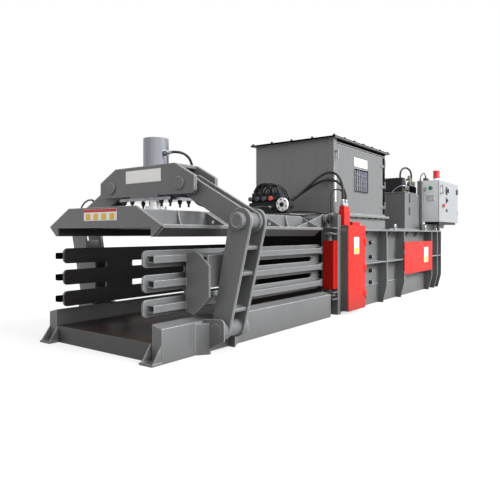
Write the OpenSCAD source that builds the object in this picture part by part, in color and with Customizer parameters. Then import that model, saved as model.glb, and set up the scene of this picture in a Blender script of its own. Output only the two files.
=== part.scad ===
// Horizontal hydraulic channel baler (baling press). Millimetres, +Z up, +X towards the rear.
// The origin is on the ground, on the centreline, half way along the base.

/* [Chamber] */
// Clear width of the bale chamber
chamber_w = 1100; // [1080:10:1120]
// Top of the chamber floor above the ground
floor_top = 157; // [152:1:162]
// Height of one finger of the side walls
finger_h = 147; // [143:1:150]
// Thickness of the side-wall plates
wall_t = 22; // [18:1:26]
// Height of the tube rails on the side walls
rail_w = 62; // [56:1:66]
// Depth of the rails, out from the wall
rail_d = 80; // [70:2:90]

/* [Base] */
// Length of the base
base_len = 7500; // [7480:10:7560]
// Length of the front anchor feet
foot_len = 105; // [90:5:120]
// Diameter of the anchor-bolt holes
anchor_hole_d = 26; // [22:1:30]

/* [Squeeze gear] */
// Outside diameter of the squeeze cylinder
barrel_d = 254; // [246:2:262]
// Diameter of the squeeze rod
rod_d = 140; // [130:2:150]
// Diameter of the lever pins at the base and the elbow
lever_pin_d = 90; // [84:2:96]
// Diameter of the crosshead pins
cross_pin_d = 80; // [74:2:86]
// Width of the links
link_w = 190; // [180:2:200]
// Thickness of the lever and link plates
lever_t = 30; // [26:1:32]

/* [Press box] */
// Thickness of the outer ribs
rib_t = 25; // [20:1:30]
// Length of the ram
ram_len = 1900; // [1880:10:1920]
// Outside diameter of the main cylinder
main_barrel_d = 320; // [310:2:330]
// Diameter of the main rod
main_rod_d = 200; // [190:2:210]

/* [Hopper] */
// Width of the hopper
hopper_w = 1280; // [1270:2:1290]
// Top of the hopper above the ground
hopper_top = 2363; // [2340:1:2390]
// Thickness of the hopper sheet
sheet_t = 8; // [6:1:10]

/* [Power pack] */
// Height of the oil tank
tank_h = 662; // [640:2:690]
// Diameter of the pump motor
motor_d = 240; // [220:2:250]

/* [Control cabinet] */
// Length of the cabinet
cab_len = 1350; // [1320:10:1400]
// Height of the cabinet
cab_h = 800; // [780:10:820]
// Depth of the cabinet
cab_depth = 310; // [300:2:320]
// Diameter of the beacon
beacon_d = 120; // [100:2:130]

/* [Hoses] */
// Outside diameter of the hydraulic hoses
hose_d = 34; // [30:1:38]

/* [Hidden] */
$fn = 48;

// Paint and bare-metal colours
grey = "#7b7d7e";
dark = "#4a4b4d";
black = "#232425";
red = "#d9362a";
steel = "#b9bcbf";
pale = "#cfd1d6";

// Lengths along X below run from the exit face; this moves them into the shared frame
exit_x = -base_len / 2;
cw = chamber_w / 2;
hw = hopper_w / 2;
// Radial running clearance of the pins, and the open clearance at the elbows
fit = 0.06;
elbow_gap = 4;

// Pin centres of the squeeze linkage on the left side (y, z)
base_pin = [cw + 390, 215];
elbow_pin = [cw + 605, 1160];
cross_pin = [489, 1520];
lever_a = atan2(elbow_pin[0] - base_pin[0], elbow_pin[1] - base_pin[1]);
link_a = atan2(elbow_pin[1] - cross_pin[1], elbow_pin[0] - cross_pin[0]);
// Middle of the squeeze gear, and the faces of its plates along X
gear_x = 673;
port_z = 1850;
lever_f = gear_x - 90 - lever_t;
lever_r = gear_x + 90;
link_f = lever_f + lever_t + 5;
link_r = lever_r - 5 - lever_t;

// Side-wall fingers, their slots and the vertical hinge pin
finger_z = [351, 558, 765];
finger_end = base_len - 4505;
side_pin = [base_len - 4460, cw + 150];
side_pin_d = 60;
// Hinge pin of the top wall (x, z)
roof_pin = [base_len - 4469, 1245];
roof_pin_d = 80;

// Portal, press box, hopper and power pack along X
portal_x = base_len - 4400;
box_x = portal_x + 85;
hop_f = box_x + 85;
hop_r = hop_f + 1820;
box_end = base_len - 20;
ram_f = hop_r + 30;
guard_r = box_x + 538;
// Middle of the twister motor and outer face of the tying guard, clear of the hopper flange
motor_y = max(cw + 245, hw + 155);
guard_y = motor_y + 97;
// Hopper door, window and latch keep their share of the hopper
hop_s = (hop_r - hop_f) / 1820;
hop_k = (hopper_top - 1331) / 1032;
win_l = hop_f + 656 * hop_s;
win_r = hop_f + 1104 * hop_s;
win_b = 1331 + 340 * hop_k;
win_t = 1331 + 661 * hop_k;
hop_hinges = [for (z = [169, 499, 829]) 1331 + z * hop_k];
latch_z = 1331 + 839 * hop_k;
tank_x = base_len - 1500;
tank_top = 1143 + tank_h;
motor_z = tank_top + 32 + motor_d / 2;
cab_x = base_len - 460;
cab_y = -620;
cab_z = 1285;
cab_front = cab_y - cab_depth;
door_y = cab_front - 14;
// Middles of the controls on the cabinet door, from its lower exit-side corner
switch_at = [500, 620];
stop_at = [258, 321];
start_at = [500, 431];

// Route points of the hoses, from the exit face
squeeze_points = [[673, -170, 1850], [673, -205, 1850], [688, -242, 1850], [722, -268, 1852], [768, -280, 1856],
  [818, -280, 1850], [864, -270, 1830], [897, -255, 1785], [913, -240, 1715], [924, -225, 1635],
  [936, -210, 1550], [966, -195, 1475], [1024, -180, 1413], [1110, -165, 1370], [1210, -150, 1350],
  [1320, -135, 1340], [1440, -120, 1335], [1560, -105, 1335], [1680, -90, 1335], [1800, -80, 1335],
  [1920, -70, 1340], [2040, -60, 1350], [2160, -55, 1365], [2280, -50, 1380], [2400, -50, 1395],
  [2520, -50, 1400], [2640, -50, 1400]];
loop_a_route = [[2860, -60, 1420], [2920, -60, 1420], [2980, -80, 1445], [3030, -130, 1495], [3065, -200, 1560],
  [3095, -280, 1635], [3120, -365, 1710], [3145, -450, 1785], [3170, -540, 1845], [3195, -630, 1870],
  [3215, -710, 1840], [3230, 30 - motor_y, 1765], [3235, 5 - motor_y, 1670], [3235, -motor_y, 1560],
  [3235, -motor_y, 1445]];
loop_b_route = [[2860, 60, 1420], [2920, 60, 1420], [2980, 45, 1430], [3030, 0, 1460], [3070, -80, 1505],
  [3105, -170, 1565], [3130, -260, 1625], [3150, -350, 1680], [3170, -440, 1730], [3190, -530, 1765],
  [3215, -620, 1775], [3250, -705, 1745], [3290, 30 - motor_y, 1675], [3315, -motor_y, 1570],
  [3315, -motor_y, 1445]];
tank_route = [[6230, -480, 2000], [6230, -480, 2060], [6232, -481, 2120], [6240, -485, 2178], [6260, -495, 2225],
  [6292, -510, 2256], [6330, -528, 2268], [6370, -547, 2266], [6410, -566, 2250], [6443, -582, 2216],
  [6464, -592, 2170], [6475, -598, 2115], [6479, -600, 2050], [6480, -600, 1970], [6480, -600, 1900]];

// Grows a left-side length outwards with the chamber
function yo(v) = v + cw - 550;
// Moves a length with the rear end of the base
function xr(v) = v + base_len - 7500;
// Stretches a length between the squeeze gear and the valve shelf
function xm(v) = v < 940 ? v : 940 + (v - 940) * (xr(2640) - 940) / 1700;
function unit(v) = v / norm(v);
// Straight sides of a bar that touches two round ends
function bar(c1, r1, c2, r2) =
  let (d = c2 - c1, l = norm(d), u = d / l, n = [-u[1], u[0]], k = (r1 - r2) / l, m = sqrt(1 - k * k))
  [c1 + r1 * (k * u + m * n), c2 + r2 * (k * u + m * n), c2 + r2 * (k * u - m * n), c1 + r1 * (k * u - m * n)];

module place() {
  translate([exit_x, 0, 0]) children();
}

module right() {
  mirror([0, 1, 0]) children();
}

module both() {
  children();
  mirror([0, 1, 0]) children();
}

// Block between two corners
module box(a, b) {
  translate(a) cube(b - a);
}

// Plate across X, drawn in (y, z)
module plate_x(x, t) {
  translate([x, 0, 0]) rotate([90, 0, 90]) linear_extrude(t) children();
}

// Plate across Y, drawn in (x, z)
module plate_y(y, t) {
  translate([0, y + t, 0]) rotate([90, 0, 0]) linear_extrude(t) children();
}

// Plate across Z, drawn in (x, y)
module plate_z(z, t) {
  translate([0, 0, z]) linear_extrude(t) children();
}

module rod_x(x, l, d, c) {
  translate([x, c[0], c[1]]) rotate([0, 90, 0]) cylinder(d = d, h = l);
}

module rod_y(y, l, d, c) {
  translate([c[0], y, c[1]]) rotate([-90, 0, 0]) cylinder(d = d, h = l);
}

module rod_z(z, l, d, c) {
  translate([c[0], c[1], z]) cylinder(d = d, h = l);
}

// Round-ended bar in a plane
module bar_shape(c1, r1, c2, r2) {
  union() {
    polygon(bar(c1, r1, c2, r2));
    translate(c1) circle(r1);
    translate(c2) circle(r2);
  }
}

// Hose with ten sides, one ring at each route point
module hose(p, ref) {
  n = 10;
  m = len(p);
  pts = [for (i = [0:m - 1])
    let (t = unit(p[min(i + 1, m - 1)] - p[max(i - 1, 0)]), a = unit(cross(t, ref)), b = cross(t, a))
    for (k = [0:n - 1]) p[i] + hose_d / 2 * (cos(360 * k / n) * a + sin(360 * k / n) * b)];
  sides = [for (i = [0:m - 2]) for (k = [0:n - 1])
    [i * n + k, (i + 1) * n + k, (i + 1) * n + (k + 1) % n, i * n + (k + 1) % n]];
  first = [[for (k = [0:n - 1]) k]];
  last = [[for (k = [n - 1:-1:0]) (m - 1) * n + k]];
  polyhedron(points = pts, faces = concat(first, sides, last));
}

// Two hollow beams beside the bale chamber with slanted pedestals at the lever brackets
module base_beams() {
  color(grey) place() both() {
    plate_x(15, portal_x - 220) difference() {
      polygon([[yo(680), 0], [yo(793), 0], [yo(793), 286], [yo(680), 315]]);
      polygon([[yo(694), 14], [yo(779), 14], [yo(779), 276], [yo(694), 298]]);
    }
    plate_x(0, 20) polygon([[yo(680), 0], [yo(793), 0], [yo(793), 286], [yo(680), 315]]);
    plate_z(0, 272) polygon([[395, yo(790)], [395, yo(793)], [lever_f - 50, yo(874)], [lever_f - 50, yo(790)]]);
    plate_z(0, 272) polygon([[lever_r + lever_t + 50, yo(790)], [lever_r + lever_t + 50, yo(874)],
      [985, yo(793)], [985, yo(790)]]);
  }
}

// Front sill and the members under the floor
module cross_members() {
  color(grey) place() {
    box([0, -yo(680), 0], [20, yo(680), floor_top]);
    for (x = [380, xm(1180), xm(1980), xr(2780)])
      box([x, -yo(680), 0], [x + 60, yo(680), floor_top - 20]);
    for (x = [xr(3700), xr(4600), xr(5500), xr(6400)])
      box([x, -yo(690), 0], [x + 60, yo(690), floor_top - 20]);
    box([xr(7380), -yo(690), 0], [xr(7440), yo(690), floor_top - 20]);
  }
}

module floor_plate() {
  color(dark) place() box([20, -yo(680), floor_top - 20], [box_end, yo(680), floor_top]);
}

// Foot plates under the front corners with two gussets each
module anchor_feet() {
  color(grey) place() both() {
    difference() {
      box([-foot_len, yo(640), 0], [0, yo(793), 18]);
      rod_z(-1, 20, anchor_hole_d, [-foot_len / 2, yo(722)]);
    }
    for (y = [650, 775])
      plate_y(yo(y), 14) polygon([[0, 18], [12 - foot_len, 18], [0, 150]]);
  }
}

// Lugs that carry the lower lever pins
module lever_brackets() {
  color(grey) place() both() {
    for (x = [lever_f - 5 - 45, lever_r + lever_t + 5])
      plate_x(x, 45) difference() {
        union() {
          polygon([[yo(793), 70], [yo(793), 285], [base_pin[0], 310], [base_pin[0], 120]]);
          translate(base_pin) circle(95);
        }
        translate(base_pin) circle(lever_pin_d / 2 + fit);
      }
  }
}

// Fixed pins: two lever pins, the top-wall pin and two side-wall pins
module pivot_pins() {
  color(steel) place() {
    both() {
      rod_x(lever_f - 50, lever_r - lever_f + lever_t + 100, lever_pin_d, base_pin);
      rod_x(lever_f - 62, 12, lever_pin_d + 30, base_pin);
      rod_x(lever_r + lever_t + 50, 12, lever_pin_d + 30, base_pin);
      rod_z(245, 820, side_pin_d, side_pin);
      rod_z(1060, 15, side_pin_d + 28, side_pin);
    }
    rod_y(-yo(705), 2 * yo(705), roof_pin_d, roof_pin);
  }
}

// One wall of the press box: inner liner, outer plate, flange, ribs and rails
module press_wall(rail_x) {
  plate_x(box_x, box_end - box_x) union() {
    translate([yo(551), floor_top]) square([25, 1100 - floor_top]);
    translate([yo(690), 0]) square([22, 1100]);
    translate([yo(551), 1092]) square([309, 25]);
    translate([yo(560), floor_top]) square([140, 20]);
    translate([yo(710), 284]) square([14, 10]);
  }
  for (x = [xr(4609), xr(5380), xr(6860), xr(7220), xr(7455)])
    plate_x(x, rib_t)
      polygon([[yo(705), 0], [yo(793), 0], [yo(860), 260], [yo(860), 1100], [yo(705), 1100]]);
  for (x = [xr(4080), xr(4990), xr(5800), xr(6320)])
    plate_x(x, 14) polygon([[yo(705), 1100], [yo(800), 1100], [yo(705), 980]]);
  box([rail_x, yo(705), 620], [box_end, yo(850), 640]);
}

// Wall on the near side with the fixed knuckles of the service door
module press_wall_right() {
  color(grey) place() right() {
    press_wall(guard_r + 17);
    for (z = [440, 780]) {
      rod_z(z - 45, 44.7, 18, [xr(5350), yo(871)]);
      rod_z(z - 10, 80, 8, [xr(5350), yo(871)]);
      box([xr(5341), yo(845), z - 45], [xr(5359), yo(871), z - 0.3]);
      box([xr(5341), yo(845), z - 45], [xr(5390), yo(860), z - 0.3]);
    }
  }
}

module press_wall_left() {
  color(grey) place() press_wall(box_x);
}

// Portal behind the bale chamber: uprights, top beam, valve shelf and hinge lugs
module portal_frame() {
  color(grey) place() {
    both() {
      difference() {
        box([portal_x, yo(551), floor_top], [box_x, yo(793), 1143]);
        box([portal_x + 22, yo(576), floor_top + 20], [box_x - 22, yo(771), 1120]);
      }
      box([portal_x, yo(681), 0], [box_x, yo(793), floor_top + 10]);
      for (z = [248, 1040])
        plate_z(z, 20) difference() {
          union() {
            translate([side_pin[0], side_pin[1] - 60]) square([portal_x + 10 - side_pin[0], 120]);
            translate(side_pin) circle(60);
          }
          translate(side_pin) circle(side_pin_d / 2 + fit);
        }
      plate_y(yo(640), 40) difference() {
        union() {
          translate([roof_pin[0], 1130]) square([portal_x + 10 - roof_pin[0], 177]);
          translate(roof_pin) circle(62);
        }
        translate(roof_pin) circle(roof_pin_d / 2 + fit);
      }
    }
    difference() {
      box([portal_x, -yo(793), 1143], [box_x, yo(793), 1300]);
      box([portal_x + 15, -yo(770), 1158], [box_x - 15, yo(770), 1285]);
    }
    box([roof_pin[0] - 76, -yo(551), 1117], [box_x, yo(551), 1143]);
    box([portal_x - 460, -350, 1300], [box_x, 450, 1314]);
  }
}

// Roof plates before and behind the hopper
module press_roof() {
  color(grey) place() {
    box([box_x, -hw, 1117], [hop_f, hw, 1143]);
    box([hop_r, -yo(720), 1117], [box_end, yo(720), 1143]);
  }
}

// Toothed cutting bar under the front edge of the hopper
module shear_blade() {
  color(steel) place() plate_z(1095, 22) polygon(concat(
    [[hop_f - 55, cw - 2], [hop_f - 55, 2 - cw]],
    [for (i = [0:10]) [i % 2 == 0 ? hop_f : hop_f + 35, 2 - cw + i * (chamber_w - 4) / 10]]));
}

// Plate at the rear that holds the main cylinder
module rear_plate() {
  color(grey) place() difference() {
    box([xr(7380), -yo(551), floor_top], [xr(7430), yo(551), 1117]);
    rod_x(xr(7379), 52, main_barrel_d + 2 * fit, [0, 620]);
  }
}

module main_barrel() {
  color(dark) place() difference() {
    union() {
      rod_x(hop_r + 210, xr(7450) - hop_r - 210, main_barrel_d, [0, 620]);
      rod_x(xr(7430), 40, main_barrel_d + 100, [0, 620]);
      rod_x(hop_r + 200, 60, main_barrel_d + 30, [0, 620]);
    }
    rod_x(hop_r + 270, xr(7410) - hop_r - 270, main_barrel_d - 40, [0, 620]);
    rod_x(hop_r + 190, 100, main_rod_d + 2 * fit, [0, 620]);
  }
}

// Hopper sheet box with its neck, two flange rings and the near-side door opening
module hopper_shell() {
  color(grey) place() {
    difference() {
      union() {
        box([hop_f, -hw, 1117], [hop_r, hw, hopper_top]);
        box([hop_f - 50, -hw - 50, 1297], [hop_r + 50, hw + 50, 1331]);
        box([hop_f - 60, -hw - 55, hopper_top - 20], [hop_r + 60, hw + 55, hopper_top]);
        box([hop_f - 10, -hw - 10, 1331], [hop_f + 70, -hw + 60, hopper_top - 20]);
      }
      box([hop_f + sheet_t, -hw + sheet_t, 1100], [hop_r - sheet_t, hw - sheet_t, hopper_top + 10]);
      box([hop_f + 90, -hw - 20, 1360], [hop_r - 50, 20 - hw, hopper_top - 70]);
    }
    for (z = hop_hinges) {
      rod_z(z, 60, 22, [hop_r - 38, -hw - 12]);
      box([hop_r - 49, -hw - 12, z], [hop_r - 27, -hw + 1, z + 60]);
      rod_z(z - 44, 45, 10, [hop_r - 38, -hw - 12]);
    }
  }
}

// Tank with its lid, open inside
module oil_tank() {
  color(grey) place() difference() {
    union() {
      box([tank_x, -650, 1143], [tank_x + 600, 650, tank_top]);
      box([tank_x - 15, -660, tank_top - 12], [tank_x + 615, 660, tank_top]);
    }
    box([tank_x + 6, -644, 1149], [tank_x + 594, 644, tank_top - 12]);
  }
}

// Motor lying across the tank with its feet, pump and terminal box
module pump_motor() {
  color(black) place() {
    rod_y(-160, 500, motor_d, [tank_x + 300, motor_z]);
    rod_y(340, 30, motor_d - 30, [tank_x + 300, motor_z]);
    rod_y(-270, 110, motor_d - 60, [tank_x + 300, motor_z]);
    rod_y(-350, 90, 120, [tank_x + 300, motor_z]);
    for (y = [-110, 230])
      box([tank_x + 200, y, tank_top], [tank_x + 400, y + 60, motor_z - motor_d / 2 + 30]);
    box([tank_x + 160, 20, motor_z - 50], [tank_x + 230, 150, motor_z + 60]);
  }
}

// Valve block on the tank lid with its ports, and the return port beside it
module tank_valves() {
  color(steel) place() {
    box([xr(6160), -560, tank_top], [xr(6480), -400, tank_top + 130]);
    rod_z(tank_top + 130, 2000 - tank_top - 130, 60, [xr(6230), -480]);
    rod_z(tank_top + 130, 90, 70, [xr(6400), -480]);
    rod_y(-620, 60, 70, [xr(6400), tank_top + 65]);
    rod_z(tank_top, 1900 - tank_top, 60, [xr(6480), -600]);
  }
}

// Drilled block on the valve shelf with front and rear hose ports
module valve_manifold() {
  color(black) place() translate([xr(0), 0, 0]) {
    box([2680, -130, 1314], [2820, 330, 1470]);
    rod_x(2640, 40, 56, [-50, 1400]);
    for (y = [-60, 60])
      rod_x(2820, 40, 56, [y, 1420]);
  }
}

// Four valves with two solenoids each
module solenoid_valves() {
  color(dark) place() translate([xr(0), 0, 0]) for (y = [-110, 0, 110, 220]) {
    box([2700, y, 1470], [2800, y + 80, 1560]);
    rod_x(2610, 90, 58, [y + 40, 1515]);
    rod_x(2800, 90, 58, [y + 40, 1515]);
    box([2690, y + 10, 1560], [2810, y + 70, 1600]);
  }
}

// Canister filter beside the valve block, its round cover towards the exit
module return_filter() {
  color(pale) place() translate([xr(0), 0, 0]) {
    rod_x(2640, 170, 130, [-240, 1430]);
    rod_x(2618, 22, 172, [-240, 1430]);
    box([2670, -285, 1314], [2770, -195, 1400]);
    rod_y(-200, 70, 60, [2720, 1400]);
  }
}

// Angle covers in front of the side-wall hinge pins
module hinge_guards() {
  color(red) place() both() plate_z(340, 625) polygon([[side_pin[0] - 68, yo(645)], [side_pin[0] - 68, yo(790)],
    [portal_x, yo(790)], [portal_x, yo(782)], [side_pin[0] - 60, yo(782)], [side_pin[0] - 60, yo(645)]]);
}

// Sheet frame around the wire-tying unit, slotted for the press-box flange
module tying_guard() {
  color(dark) place() right() {
    difference() {
      box([box_x, yo(712), 40], [guard_r, guard_y, 1165]);
      box([box_x + 10, yo(700), 50], [guard_r - 10, guard_y + 8, 1155]);
      box([box_x - 1, yo(700), 1091], [guard_r + 7, yo(861), 1118]);
      box([box_x - 1, yo(700), 283], [guard_r + 7, yo(725), 295]);
    }
    for (z = [200, 560, 920]) {
      rod_z(z - 45, 44.7, 18, [guard_r + 11, guard_y + 9]);
      rod_z(z - 10, 80, 8, [guard_r + 11, guard_y + 9]);
      box([guard_r + 2, guard_y - 12, z - 45], [guard_r + 20, guard_y + 9, z - 0.3]);
      box([guard_r - 8, guard_y - 12, z - 45], [guard_r + 20, guard_y, z - 0.3]);
    }
  }
}

// Upright shaft with one twister head at each wire
module wire_twisters() {
  color(steel) place() right() {
    rod_z(50, 1041, 50, [box_x + 265, yo(800)]);
    for (z = [290, 503, 710, 923])
      rod_z(z - 20, 40, 130, [box_x + 265, yo(800)]);
  }
}

// Covered drive motor on top of the guard with two hose ports
module twister_motor() {
  color(red) place() right() {
    box([box_x + 10, motor_y - 41, 1165], [box_x + 180, motor_y + 41, 1358]);
    box([box_x + 20, motor_y - 35, 1358], [box_x + 170, motor_y + 35, 1415]);
    for (x = [50, 130])
      rod_z(1415, 30, 46, [box_x + x, motor_y]);
    box([box_x + 275, motor_y - 65, 1165], [box_x + 515, motor_y + 35, 1215]);
  }
}

// Wire-guide bosses on both walls of the press box
module wire_guides() {
  color(black) place() both() for (z = [290, 503, 710, 923]) {
    rod_y(yo(712), 26, 60, [xr(4304), z < 300 ? 330 : z]);
    rod_y(yo(738), 20, 34, [xr(4304), z < 300 ? 330 : z]);
  }
}

// Column, beam and post that carry the control cabinet
module cabinet_stand() {
  color(dark) place() {
    box([xr(6780), -700, 1143], [xr(6860), -610, 2060]);
    box([xr(6860), -700, 1170], [cab_x + cab_len - 150, -640, 1240]);
    box([xr(6860), -700, 1900], [cab_x, -640, 1960]);
    rod_z(1117, 123, 60, [xr(7420), -yo(820)]);
  }
}

module cabinet_tray() {
  color(black) place() box([cab_x + 110, cab_front + 20, 1240], [cab_x + cab_len - 70, cab_y - 20, cab_z]);
}

// Cabinet box, open towards the door, with three hinge knuckles
module cabinet_shell() {
  color(pale) place() {
    difference() {
      box([cab_x, cab_front, cab_z], [cab_x + cab_len, cab_y, cab_z + cab_h]);
      box([cab_x + 5, cab_front - 1, cab_z + 5], [cab_x + cab_len - 5, cab_y - 5, cab_z + cab_h - 5]);
    }
    for (z = [cab_z + 120, cab_z + cab_h - 180])
      difference() {
        union() {
          rod_z(z, 60, 13, [cab_x + cab_len + 8, cab_front]);
          box([cab_x + cab_len - 1, cab_front, z], [cab_x + cab_len + 14.5, cab_front + 30, z + 60]);
        }
        rod_z(z - 1, 62, 8 + 2 * fit, [cab_x + cab_len + 8, cab_front]);
      }
  }
}

module beacon_lens() {
  color(red) place() {
    rod_z(cab_z + cab_h, 46, beacon_d - 16, [cab_x + 130, cab_front + 75]);
    rod_z(cab_z + cab_h + 46, 144, beacon_d, [cab_x + 130, cab_front + 75]);
  }
}

// Lifting eyes welded on the flanges
module lifting_eyes() {
  color(steel) place() both() for (x = [xr(5060), xr(6600)])
    plate_y(yo(815), 22) difference() {
      union() {
        translate([x - 45, 1117]) square([90, 45]);
        translate([x, 1162]) circle(45);
      }
      translate([x, 1165]) circle(24);
    }
}

// Crosshead of the squeeze gear: two plates, diaphragms and side webs
module crosshead() {
  color(grey) place() difference() {
    union() {
      for (x = [gear_x - 165, gear_x + 125])
        plate_x(x, 40) polygon([[-640, 1420], [-670, 1450], [-670, 1580], [-424, 1712], [424, 1712], [670, 1580],
          [670, 1450], [640, 1420], [191, 1420], [191, 1402], [-191, 1402], [-191, 1420]]);
      box([gear_x - 130, -424, 1682], [gear_x + 130, 424, 1712]);
      box([gear_x - 130, -300, 1402], [gear_x + 130, 300, 1432]);
      for (y = [-300, 270])
        box([gear_x - 130, y, 1420], [gear_x + 130, y + 30, 1700]);
    }
    rod_z(1300, 500, barrel_d + 2 * fit, [gear_x, 0]);
    for (s = [-1, 1])
      rod_x(gear_x - 200, 400, cross_pin_d + 2 * fit, [s * cross_pin[0], cross_pin[1]]);
  }
}

module crosshead_pins() {
  color(steel) place() both() {
    rod_x(gear_x - 165, 330, cross_pin_d, cross_pin);
    rod_x(gear_x - 180, 15, cross_pin_d + 40, cross_pin);
    rod_x(gear_x + 165, 15, cross_pin_d + 40, cross_pin);
  }
}

// Squeeze cylinder with its bolted foot plate, gland bore and near-side hose port
module squeeze_barrel() {
  color(steel) place() difference() {
    union() {
      rod_z(1390, 610, barrel_d, [gear_x, 0]);
      plate_z(1374, 28) difference() {
        translate([gear_x - 160, -365]) square([320, 730]);
        for (x = [-125, 125], y = [-330, -210, 210, 330])
          translate([gear_x + x, y]) circle(14);
      }
      rod_y(-170, 60, 60, [gear_x, port_z]);
    }
    rod_z(1430, 545, barrel_d - 46, [gear_x, 0]);
    rod_z(1360, 100, rod_d + 2 * fit, [gear_x, 0]);
    rod_y(-171, 90, 24, [gear_x, port_z]);
  }
}

// Rod with its piston and thrust foot
module squeeze_rod() {
  color(steel) place() {
    rod_z(1310, 540, rod_d, [gear_x, 0]);
    rod_z(1850, 80, barrel_d - 46 - 2 * fit, [gear_x, 0]);
    rod_z(1295, 30, rod_d + 70, [gear_x, 0]);
  }
}

// Link from the crosshead pin to the elbow; its elbow bore stays open
module link() {
  mid = (cross_pin + elbow_pin) / 2;
  difference() {
    union() {
      for (x = [link_f, link_r])
        plate_x(x, lever_t) bar_shape(cross_pin, link_w / 2, elbow_pin, link_w / 2);
      rod_x(gear_x - 120, 240, 130, cross_pin);
      rod_x(link_f + 10, link_r - link_f, 150, elbow_pin);
      for (k = [-0.5, 0.5])
        translate([0, mid[0], mid[1]]) rotate([link_a, 0, 0])
          box([link_f + 10, k * 280 - 60, -12], [link_r + 10, k * 280 + 60, 12]);
    }
    rod_x(gear_x - 200, 400, cross_pin_d + 2 * fit, cross_pin);
    rod_x(gear_x - 200, 400, lever_pin_d + 2 * elbow_gap, elbow_pin);
  }
}

module right_link() {
  color(grey) place() right() link();
}

module left_link() {
  color(grey) place() link();
}

// Lever: two plates, ladder webs, lower boss and the thrust pad
module lever() {
  difference() {
    union() {
      for (x = [lever_f, lever_r])
        plate_x(x, lever_t) bar_shape(base_pin, 95, elbow_pin, 115);
      rod_x(lever_f + 10, lever_r - lever_f, 150, base_pin);
      translate([0, base_pin[0], base_pin[1]]) rotate([-lever_a, 0, 0]) {
        for (z = [190, 520, 750])
          box([lever_f + 10, -80, z - 15], [lever_r + 10, 80, z + 15]);
        box([lever_f + 10, -80, 190], [lever_r + 10, -60, 750]);
        box([lever_f + 40, -112, 430], [lever_r - 10, -40, 536]);
      }
    }
    rod_x(gear_x - 200, 400, lever_pin_d + 2 * fit, base_pin);
    rod_x(gear_x - 200, 400, lever_pin_d + 2 * fit, elbow_pin);
  }
}

module right_lever() {
  color(grey) place() right() lever();
}

module left_lever() {
  color(grey) place() lever();
}

// Elbow pin with a round head at each end
module elbow() {
  rod_x(lever_f, lever_r - lever_f + lever_t, lever_pin_d, elbow_pin);
  rod_x(lever_f - 45, 45, lever_pin_d + 60, elbow_pin);
  rod_x(lever_r + lever_t, 25, lever_pin_d + 60, elbow_pin);
}

module right_elbow_pin() {
  color(dark) place() right() elbow();
}

module left_elbow_pin() {
  color(dark) place() elbow();
}

// Top wall: front plate, press plate with skirts, webs, drilled gussets and hinge eyes
module top_wall() {
  w = yo(793);
  color(grey) place() {
    plate_x(0, 25) polygon([[yo(687), 1027], [w, 1118], [477, 1290], [-477, 1290], [-w, 1118], [-yo(687), 1027],
      [-yo(665), 1027], [-yo(665), 1105], [yo(665), 1105], [yo(665), 1027]]);
    box([20, -yo(665), 1105], [xr(2930), yo(665), 1130]);
    both() {
      plate_x(20, xr(2610)) union() {
        translate([yo(660), 1112]) square([133, 18]);
        polygon([[yo(687), 1027], [yo(707), 1027], [w, 1101], [w, 1118], [yo(770), 1118]]);
      }
      plate_y(yo(524), 22)
        polygon([[20, 1120], [20, 1262], [xr(2560), 1272], [xr(2900), 1180], [xr(2900), 1120]]);
      plate_y(yo(600), 22) difference() {
        union() {
          polygon([[xr(2300), 1120], [xr(2900), 1272], [xr(3020), 1306], [xr(3010), 1186], [xr(2925), 1120]]);
          translate(roof_pin) circle(62);
        }
        translate(roof_pin) circle(roof_pin_d / 2 + fit);
      }
      for (x = [800, xm(1750)])
        plate_x(x, 16) difference() {
          polygon([[yo(540), 1120], [w - 4, 1120], [w - 4, 1132], [yo(540), 1262]]);
          translate([yo(640), 1165]) circle(18);
        }
      for (x = [412, xm(1250), xm(2200)])
        plate_x(x, 14) polygon([[yo(540), 1120], [yo(600), 1120], [yo(560), 1262], [yo(540), 1262]]);
      for (x = [500, xm(1450), xm(2150)])
        plate_x(x, 14) polygon([[yo(705), 1035], [w - 6, 1112], [w - 6, 1120], [yo(760), 1120]]);
      plate_x(xr(2616), 14) polygon([[yo(540), 1120], [w, 1120], [w, 1130], [yo(622), 1210], [yo(540), 1262]]);
    }
    for (x = [280, 480, 850, xm(1523), xm(2066), xr(2600)])
      box([x, -yo(530), 1120], [x + 20, yo(530), 1230]);
    box([560, -150, 1120], [786, 150, 1290]);
  }
}

// Side wall: slotted plate with rounded finger ends and three hinge knuckles
module side_wall() {
  slots = [for (i = [0, 1]) finger_z[i] + finger_h];
  slot_h = finger_z[1] - finger_z[0] - finger_h;
  plate_y(yo(551), wall_t) difference() {
    union() {
      translate([40, finger_z[0]]) square([finger_end - 40, finger_z[2] + finger_h - finger_z[0]]);
      for (z = finger_z) {
        translate([0, z + 40]) square([60, finger_h - 80]);
        for (k = [40, finger_h - 40])
          translate([40, z + k]) circle(40);
      }
    }
    for (z = slots) {
      translate([-10, z]) square([510 - slot_h / 2, slot_h]);
      translate([500 - slot_h / 2, z + slot_h / 2]) circle(slot_h / 2);
      translate([845, z]) square([xr(1916), slot_h]);
      translate([845, z + slot_h / 2]) circle(slot_h / 2);
      translate([xr(2761), z + slot_h / 2]) circle(slot_h / 2);
    }
  }
  for (z = finger_z)
    plate_z(z + finger_h / 2 - 45, 90) difference() {
      union() {
        polygon([[finger_end - 80, yo(551) + wall_t], [finger_end, yo(551) + wall_t],
          [side_pin[0] + 20, side_pin[1] - 45],
          side_pin, [side_pin[0] - 50, side_pin[1]], [side_pin[0] - 50, yo(640)], [finger_end - 80, yo(640)]]);
        translate(side_pin) circle(50);
      }
      translate(side_pin) circle(side_pin_d / 2 + fit);
    }
}

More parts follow.
